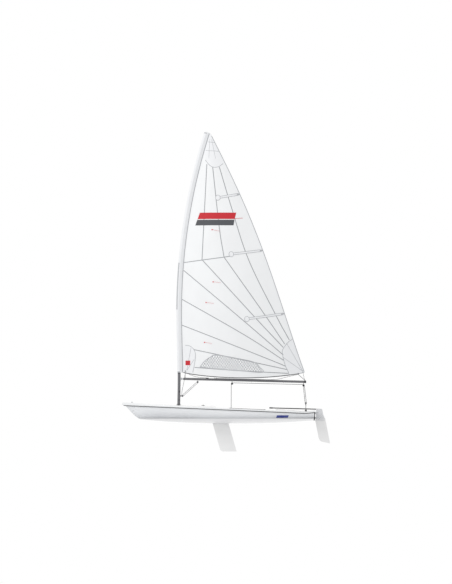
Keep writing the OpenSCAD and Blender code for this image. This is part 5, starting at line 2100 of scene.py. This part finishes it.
    def clew_band(self) -> Piece:
        """Returns the strap that ties the clew's line down round the boom's end."""
        form = Form("clew_band")

        def hoops(grow: float, *places: float) -> list[list[Vector]]:
            """Returns hoops round the boom, so much outside it, at places along it."""
            reach = self.spars.boom_radius + grow
            return [[self.spars.on_boom(along, reach * cos(a), reach * sin(a))
                     for a in turns(48)] for along in places]

        outer = form.lattice([*hoops(0.0004, 2.655), *hoops(0.0026, 2.66, 2.684),
                              *hoops(0.0004, 2.689)], ring=True)
        inner = form.lattice(hoops(-0.005 * self.spars.boom_radius, 2.655, 2.689), ring=True)
        form.bridge(outer[0], inner[0])
        form.bridge(outer[-1], inner[-1])
        return form.done(STRAP, 60.0)

    def traveller(self) -> Piece:
        """Returns the traveller's rope with a stopper knot outside each fairlead."""
        form = Form("traveller_line")
        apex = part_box("traveller_rope")[1].z - 0.003
        lead_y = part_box("traveller_fairleads")[1].y - 0.01
        x = self.car.x
        ends = [[xyz(x, side * (lead_y + out), self.lead_z) for out in (0.02, 0.008, -0.008)]
                for side in (-1, 1)]
        peak = [xyz(x, y, apex - 0.0006) for y in (-0.006, 0.006)]
        path = [*ends[0], *between(ends[0][-1], peak[0], 20), peak[1],
                *between(peak[1], ends[1][-1], 20), *ends[1][1::-1]]
        form.sweep(path, self.traveller_radius, up=AFT)
        for side in (-1, 1):
            knot = xyz(x, side * (lead_y + 0.021), self.lead_z)
            coils = [knot + xyz(0.0052 * cos(a), side * 0.0014 * a / 2,
                                    0.0052 * sin(a))
                     for a in turns(12, 31)]
            form.sweep(coils, self.traveller_radius, 10, up=STARBOARD)
        return form.done(LINE, 60.0)

    def dress(self) -> None:
        """Builds the tackle's pieces and gives each its body and nodes; the mainsheet's two falls
        get no body.
        """
        for made, body, node in zip(
                (*self.boom_blocks(), *self.vang_blocks(), *self.hull_blocks()),
                ("rig", "rig", "rig", "rig", "hull_body", "hull_body"),
                ("boom_middle_block", "boom_end_block", "vang_mast_block", "vang_boom_block",
                 "traveller_block", "ratchet_block")):
            fit(made, body, node)
        for fall, start, end in (
                (self.mid_fall(), self.ratchet + UP * 0.05, self.mid - UP * 0.03),
                (self.end_falls(), self.car + UP * 0.02, self.end - UP * 0.035)):
            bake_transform(fall)
            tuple(start)
            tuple(end)
        fit(self.boom_run(), "rig")
        fit(self.vang_line(), "rig", "vang_rope")
        fit(self.control_lines(), "rig")
        fit(self.clew_band(), "rig")
        fit(self.traveller(), "hull_body", "traveller_rope")


# ---- foils and tiller --------------------------------------------------------------------------
def foil_half(u: float) -> float:
    """Returns half the thickness of a foil as a share of its thickness, u along its chord."""
    return 5 * (0.2969 * sqrt(u) - 0.126 * u - 0.3516 * u ** 2 + 0.2843 * u ** 3
                - 0.1015 * u ** 4)


def foil_rows(form: Form, levels: Sequence[float], fore: Callable[[float], float],
              back: Callable[[float], float], thick: Callable[[float], float],
              steps: int = 36) -> None:
    """Skins a foil from level sections.

    Args:
        form: the mesh that it joins.
        levels: the sections' heights.
        fore: the leading edge's X at a height.
        back: the trailing edge's X at a height.
        thick: the thickness at a height.
        steps: how many steps each face has along its chord.
    """
    shares = [(1 - cos(pi * k / steps)) / 2 for k in range(steps + 1)]
    ring = [*((u, -foil_half(u)) for u in shares), *((u, foil_half(u)) for u in shares[-2:0:-1])]
    form.lattice([[xyz(mix(fore(z), back(z), u), thick(z) * half, z) for u, half in ring]
                  for z in levels], ring=True, caps=True)


@dataclass
class Foils:
    """The daggerboard and the rudder blade."""

    draught: float
    board_x: float = 0.052
    board_chord: float = 0.338
    board_thick: float = 0.03
    board_rake: float = radians(16)
    tip_round: float = 0.085
    blade_thick: float = 0.02
    blade_chord: float = 0.224
    blade_rake: float = radians(11)
    lead_x: float = 2.133
    disc: float = 0.062
    edge_round: float = 0.007

    def board(self) -> Piece:
        """Returns the daggerboard below its head, with a rounded foot."""
        low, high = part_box("daggerboard")
        tip, top = low.z, high.z - 0.0005
        half = self.board_chord / 2 / cos(self.board_rake)

        def middle_x(z: float) -> float:
            """Returns the X of the middle of the board at a height."""
            return self.board_x - (z + self.draught) * tan(self.board_rake)

        lead = middle_x(tip + self.tip_round) - half

        def fore(z: float) -> float:
            """Returns the leading edge's X at a height."""
            if z >= tip + self.tip_round:
                return middle_x(z) - half
            rise = 1 - (z - tip) / self.tip_round
            corner = lead + self.tip_round * (1 - sqrt(max(0.0, 1 - rise * rise)))
            return max(corner, middle_x(z) - half)

        def thick(z: float) -> float:
            """Returns the thickness at a height, less at the rounded foot."""
            rise = min(1.0, (z - tip) / self.edge_round)
            return self.board_thick * sqrt(max(0.02, 1 - (1 - rise) ** 2))

        levels = [tip + self.tip_round * (1 - cos(radians(a))) for a in range(0, 91, 5)]
        levels += [mix(tip + self.tip_round, top, k / 24) for k in range(1, 25)]
        levels[1:1] = [tip + self.edge_round * share for share in (0.02, 0.06)]
        form = Form("daggerboard_foil")
        foil_rows(form, sorted(set(levels)), fore, lambda z: middle_x(z) + half - 0.0002, thick)
        return form.done(WHITE_FOIL, 60.0)

    def blade(self) -> Piece:
        """Returns the rudder blade, round at the bolt and slanted at its foot."""
        bolt = centre_of("rudder_bolt")
        tip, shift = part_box("rudder_blade")[0].z, tan(self.blade_rake)
        fore_x = self.lead_x - (tip + 0.042) * shift
        back_x = fore_x + self.blade_chord / cos(self.blade_rake)
        left = [(tip, back_x - 0.004), (tip + 0.04, fore_x + 0.038), (tip + 0.054, fore_x + 0.014),
                (tip + 0.072, fore_x), (tip + 0.12, fore_x - 0.12 * shift), (-0.042, self.lead_x),
                (0.0, bolt.x - self.disc)]
        right = [(tip, back_x), (0.009, back_x - (0.009 - tip) * shift),
                 (0.031, bolt.x + self.disc * cos(radians(30)))]
        left_z, left_x = zip(*left)
        right_z, right_x = zip(*right)

        def fore(z: float) -> float:
            """Returns the leading edge's X at a height."""
            if z > 0:
                return bolt.x - sqrt(max(0.0, self.disc ** 2 - z * z))
            return float(np.interp(z, left_z, left_x))

        def back(z: float) -> float:
            """Returns the trailing edge's X at a height."""
            if z > 0.031:
                return bolt.x + sqrt(max(0.0, self.disc ** 2 - z * z))
            return float(np.interp(z, right_z, right_x))

        def thick(z: float) -> float:
            """Returns the thickness at a height, less at the foot."""
            rise = min(1.0, (z - tip) / 0.03)
            return self.blade_thick * sqrt(max(0.03, 1 - (1 - rise) ** 2))

        levels = [mix(tip, tip + 0.08, (k / 14) ** 1.3) for k in range(15)]
        levels += [mix(tip + 0.08, -0.05, k / 16) for k in range(1, 17)]
        levels += [mix(-0.05, self.disc * 0.999, sin(pi / 2 * k / 18))
                   for k in range(1, 19)]
        form = Form("rudder_foil")
        foil_rows(form, levels, fore, back, thick)
        return form.done(WHITE_FOIL, 60.0)

    def dress(self) -> None:
        """Builds the foils' pieces and gives each its body and nodes."""
        fit(self.board(), "board", "daggerboard")
        ease("board", ("daggerboard_head", "board_handle", BLACK_MOULD, 0.004))
        fit(self.blade(), "blade", "rudder_blade")


@dataclass
class Steering:
    """The rudder head with its pintles and bolt, the tiller, its grip and its extension."""

    axis_x: float = 2.137
    tiller_z: float = 0.205
    rise: float = radians(1.6)
    reach: float = 1.013
    extension_side: float = 0.0233
    extension_length: float = 0.9

    @property
    def way(self) -> Vector:
        """Returns the tiller's direction, forwards."""
        return xyz(-cos(self.rise), 0, sin(self.rise))

    def on_tiller(self, forward: float, across: float = 0.0, up: float = 0.0) -> Vector:
        """Returns a place by the tiller, forward of the rudder's axis."""
        lift = xyz(sin(self.rise), 0, cos(self.rise))
        return xyz(self.axis_x, across, self.tiller_z) + self.way * forward + lift * up

    def grip(self) -> Piece:
        """Returns the ribbed grip on the tiller's front end."""
        form = Form("tiller_handle")
        profile = [(0.0, 0.0112), (0.0, 0.014)]
        profile += [(0.003 + 0.0052 * k + d, r) for k in range(12) for d, r in (
            (0, 0.0148), (0.0026, 0.0148), (0.0034, 0.0136), (0.0044, 0.0136))]
        profile += [(0.0665, 0.0148), (0.069, 0.013), (0.07, 0.01), (0.07, 0.0)]
        form.turn(profile, self.on_tiller(self.reach - 0.07), self.way, 36)
        return form.done(BLACK_TRIM, 45.0)

    def tiller_trim(self) -> Piece:
        """Returns the joint, the end plugs and the soft sleeve of the tiller's extension."""
        form = Form("extension_grip")
        tail = self.reach - 0.03 - self.extension_length
        side = self.extension_side
        profile = [(0.0, 0.0), (0.0, 0.0085), (0.002, 0.0098)]
        profile += [(0.006 + 0.014 * k + d, r) for k in range(18) for d, r in (
            (0, 0.0092), (0.001, 0.0088), (0.003, 0.0088), (0.004, 0.0092))]
        profile += [(0.262, 0.0092), (0.266, 0.0081)]
        form.turn(profile, self.on_tiller(tail + 0.001, side, -0.002), self.way, 28)
        joint = self.on_tiller(self.reach - 0.03, side, -0.002)
        form.turn([(-0.05, 0.0081), (-0.048, 0.0094), (-0.016, 0.0094), (-0.012, 0.0075),
                   (-0.002, 0.0068)], joint, self.way, 28)
        form.sweep([joint + xyz(0, -0.002, 0), self.on_tiller(self.reach - 0.03, 0.0105)],
                   0.005, 14)
        return form.done(BLACK_TRIM, 45.0)

    def rudder_line(self) -> Piece:
        """Returns the blade's downhaul, from the head's foot up its side to a cleat."""
        form = Form("rudder_downhaul")
        low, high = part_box("rudder_head")
        side = high.y + 0.0032
        path = [xyz(low.x + x, side, z) for x, z in (
            (0.1, low.z + 0.06), (0.066, 0.06), (0.05, 0.13), (0.062, 0.168))]
        form.sweep(rounded(path, 0.01), 0.0024, 10)
        return form.done(LINE, 60.0)

    def head_parts(self) -> Piece:
        """Returns the cleat and the screws on the rudder head's cheeks."""
        form = Form("rudder_head_parts")
        low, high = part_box("rudder_head")
        for side in (-1, 1):
            face = high.y if side > 0 else low.y
            for x, z in ((0.03, 0.19), (0.11, 0.19), (0.025, 0.09), (0.12, 0.1), (0.06, -0.03)):
                form.screw(xyz(low.x + x, face, z), STARBOARD * side, 0.005)
        base = xyz(low.x + 0.062, high.y, 0.174)
        form.slab([base + xyz(a, 0, b) for a, b in round_outline((0, 0), 0.01, 0.018, 20)],
                  STARBOARD * 0.005)
        for x in (-0.005, 0.005):
            form.sweep([base + xyz(x, y, z) for y, z in (
                (0.004, -0.006), (0.008, 0.0), (0.004, 0.008))], 0.003, 10)
        return form.done(DARK_BOLT, 45.0)

    def dress(self) -> None:
        """Builds the steering's pieces and gives each its body and nodes."""
        ease("rudder", ("rudder_head", "rudder_stock", WHITE_CAST, 0.0016),
             ("rudder_pintles", "pintle_straps", STEEL, 0.0007),
             ("rudder_bolt", "pivot_bolt", STEEL, 0.0012))
        fit(self.grip(), "rudder", "tiller_grip")
        for made in (self.tiller_trim(), self.rudder_line(), self.head_parts()):
            fit(made, "rudder")
        wear(DARK_SPAR, "tiller", "tiller_extension")


# ---- fittings ----------------------------------------------------------------------------------
@dataclass
class Fittings:
    """What is screwed to the hull and deck."""

    lines: HullLines
    strap_sag: float = 0.0018
    strap_steps: int = 60

    def strap(self) -> Piece:
        """Returns the hiking strap, sagging a little, with its ends doubled and stitched."""
        form = Form("toe_strap")
        low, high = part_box("hiking_strap")
        rows = []
        for k in range(self.strap_steps + 1):
            t = k / self.strap_steps
            x = mix(low.x, high.x, t)
            sag = self.strap_sag * sin(pi * t)
            thick = 0.0042 if t < 0.08 or t > 0.92 else 0.0028
            curl = 0.0008 * sin(t * 23)
            top = [xyz(x, mix(high.y, low.y, j / 12),
                           high.z - 0.0002 - sag - curl * abs(1 - j / 6) ** 2 - 0.0003)
                   for j in range(13)]
            under = [p - xyz(0, 0, thick - 0.0006) for p in top[::-1]]
            rows.append([*top, *under])
        form.lattice(rows, ring=True, caps=True)
        return form.done(STRAP, 60.0)

    def screws(self) -> Piece:
        """Returns the screws that hold the deck's and the transom's fittings."""
        form = Form("fitting_screws")
        for node, in_x, in_y, lift, radius in (
                ("bow_eye", 0.007, None, 0.004, 0.0042), ("deck_cleat", 0.01, 0.01, 0.004, 0.0042),
                ("traveller_fairleads", 0.005, 0.01, 0.005, 0.0036),
                ("cockpit_bailer", 0.009, 0.007, None, 0.0032)):
            low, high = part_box(node)
            z = high.z if lift is None else low.z + lift
            for x in (low.x + in_x, high.x - in_x):
                for y in ((0,) if in_y is None else (low.y + in_y, high.y - in_y)):
                    form.screw(xyz(x, y, z), UP, radius)
        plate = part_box("transom_gudgeons")[0].x + 0.004
        for z in (0.006, 0.116):
            for y in (-0.027, 0.027):
                form.screw(xyz(plate, y, z), AFT)
        return form.done(DARK_BOLT, 45.0)

    def strap_plates(self) -> Piece:
        """Returns the plates that hold the hiking strap's ends to the cockpit's walls."""
        form = Form("strap_plates")
        low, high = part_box("hiking_strap")
        z = (low.z + high.z) / 2
        for x, way in ((low.x + 0.0002, 1), (high.x - 0.0002, -1)):
            outline = [xyz(x, y, z + h) for y, h in (
                (-0.032, -0.006), (-0.03, -0.009), (0.03, -0.009), (0.032, -0.006), (0.032, 0.008),
                (0.03, 0.011), (-0.03, 0.011), (-0.032, 0.008))]
            form.slab(outline, xyz(way * 0.004, 0, 0))
            for y in (-0.022, 0.022):
                form.screw(xyz(x + way * 0.004, y, z + 0.006), xyz(way, 0, 0), 0.0034)
        return form.done(GREY_MOULD)

    def dress(self) -> None:
        """Builds the fittings and gives each its body and nodes."""
        fit(self.strap(), "hull_body", "hiking_strap")
        fit(self.strap_plates(), "hull_body")
        fit(self.screws(), "hull_body")
        ease("hull_body", ("bow_eye", "bow_ring", STEEL, 0.0015),
             ("deck_cleat", "line_cleats", BLACK_MOULD, 0.0018),
             ("grab_rails", "hand_rails", BLACK_MOULD, 0.0022),
             ("traveller_fairleads", "rope_leads", BLACK_MOULD, 0.0018),
             ("transom_gudgeons", "gudgeon_plates", STEEL, 0.0009),
             ("drain_plug", "drain_bung", BLACK_MOULD, 0.0012),
             ("cockpit_bailer", "bailer_frame", GREY_MOULD, 0.0012),
             ("mast_step", "step_ring", BLACK_MOULD, 0.0018))


# ---- studio ------------------------------------------------------------------------------------
@dataclass
class Studio:
    """A pale floor at the waterline, soft light and the camera level with the floor."""

    aim: Vector = field(default_factory=lambda: xyz(0.17, 0.0, 2.785))
    distance: float = 71.44
    lens: float = 200.0
    floor_radius: float = 34.0
    fade_from: float = 9.0
    fade_to: float = 30.0
    sky: float = 0.78
    key_power: float = 560.0
    fill_power: float = 140.0
    floor_colour: Colour = field(default=linear(238, 239, 240))

    def camera(self) -> None:
        """Sets the camera square to the port side, at the height of the floor."""
        data = bpy.data.cameras.new("camera")
        data.lens = self.lens
        data.clip_end = 400.0
        camera = bpy.data.objects.new("camera", data)
        camera.location = xyz(self.aim.x, -self.distance, 0.0)
        camera.rotation_euler = (self.aim - camera.location).to_track_quat("-Z", "Y").to_euler()
        bpy.context.scene.collection.objects.link(camera)
        bpy.context.scene.camera = camera

    def floor(self) -> Piece:
        """Returns the floor, seen from above only, which fades out at its rim."""
        form = Form("floor")
        ticks = [mix(-self.floor_radius, self.floor_radius, k / 34) for k in range(35)]
        form.lattice([[xyz(x, y, 0) for x in ticks] for y in ticks])
        piece = form.shape()
        if piece.data.polygons[0].normal.z < 0:
            piece.data.flip_normals()
        shader = Shader("floor_paper")
        x, y, _ = shader.axes(shader.place())
        reach = (x * x + y * y) ** 0.5
        cloud = shader.noise(0.6, 3.0)
        colour = shader.blend(cloud * 0.3, self.floor_colour, shade(self.floor_colour, 0.98))
        paper = shader.node("ShaderNodeBsdfPrincipled", None,
                            {"Base Color": colour, "Roughness": 0.85})
        clear = shader.node("ShaderNodeBsdfTransparent")
        under = Value(shader, shader.node("ShaderNodeNewGeometry").outputs["Backfacing"])
        gone = under.most(reach.ramp(self.fade_from, self.fade_to))
        fading = shader.node("ShaderNodeMixShader", None, {
            0: gone, 1: paper.outputs[0], 2: clear.outputs[0]})
        shader.tree.links.new(fading.outputs[0], shader.out.inputs["Surface"])
        piece.data.materials.append(shader.material)
        return piece

    def world(self) -> None:
        """Sets a soft even sky that is white where it is seen and dimmer where it lights."""
        world = bpy.data.worlds.new("world")
        bpy.context.scene.world = world
        world.use_nodes = True
        world.node_tree.nodes.clear()
        add, link = world.node_tree.nodes.new, world.node_tree.links.new
        path = add("ShaderNodeLightPath")
        seen = path.outputs["Is Camera Ray"]
        for ray in ("Is Glossy Ray", "Is Transmission Ray"):
            more = add("ShaderNodeMath")
            more.operation = "MAXIMUM"
            link(seen, more.inputs[0])
            link(path.outputs[ray], more.inputs[1])
            seen = more.outputs[0]
        level = add("ShaderNodeMapRange")
        level.inputs["To Min"].default_value = self.sky
        link(seen, level.inputs["Value"])
        back = add("ShaderNodeBackground")
        back.inputs["Color"].default_value = (1.0, 1.0, 1.0, 1.0)
        link(level.outputs["Result"], back.inputs["Strength"])
        link(back.outputs[0], add("ShaderNodeOutputWorld").inputs["Surface"])

    def lamp(self, name: str, place: Vector, size: float, power: float) -> None:
        """Adds a square soft lamp that faces the boat.

        Args:
            name: the lamp's name.
            place: where it stands.
            size: its side.
            power: its power in watts.
        """
        data = bpy.data.lights.new(name, "AREA")
        data.size = size
        data.energy = power
        lamp = bpy.data.objects.new(name, data)
        lamp.location = place
        target = xyz(0.2, 0, 2.2)
        lamp.rotation_euler = (target - place).to_track_quat("-Z", "Y").to_euler()
        bpy.context.scene.collection.objects.link(lamp)

    def set(self) -> None:
        """Sets up the floor, the sky, the lamps and the camera."""
        self.floor()
        self.world()
        self.lamp("key", xyz(-8.0, -10.0, 9.0), 7.0, self.key_power)
        self.lamp("fill", xyz(9.0, 8.0, 7.0), 7.0, self.fill_power)
        self.camera()
        bpy.context.scene.view_settings.view_transform = "Standard"


def main() -> None:
    """Builds the boat's pieces in order and sets the studio round them."""
    hull_low, hull_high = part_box("hull")
    edge_low, edge_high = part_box("gunwale")
    lines = HullLines(half_length=hull_high.x, draught=-hull_low.z,
                      half_beam=(edge_high.y - edge_low.y) / 2)
    hinge = next(j for j in frame["joints"] if j["name"] == "rig_turn")
    mast = MastLine(heel=(hinge["pos_m"][0], hinge["pos_m"][2]))
    shape = SailShape(mast)
    spars = Spars(mast)
    Studio().set()
    Hull(lines).dress()
    Fittings(lines).dress()
    spars.dress()
    Sail(shape).dress()
    Tackle(spars, shape).dress()
    Foils(lines.draught).dress()
    Steering().dress()


if __name__ == "__main__":
    logging.basicConfig(level=logging.INFO, format="%(name)s: %(message)s")
    main()
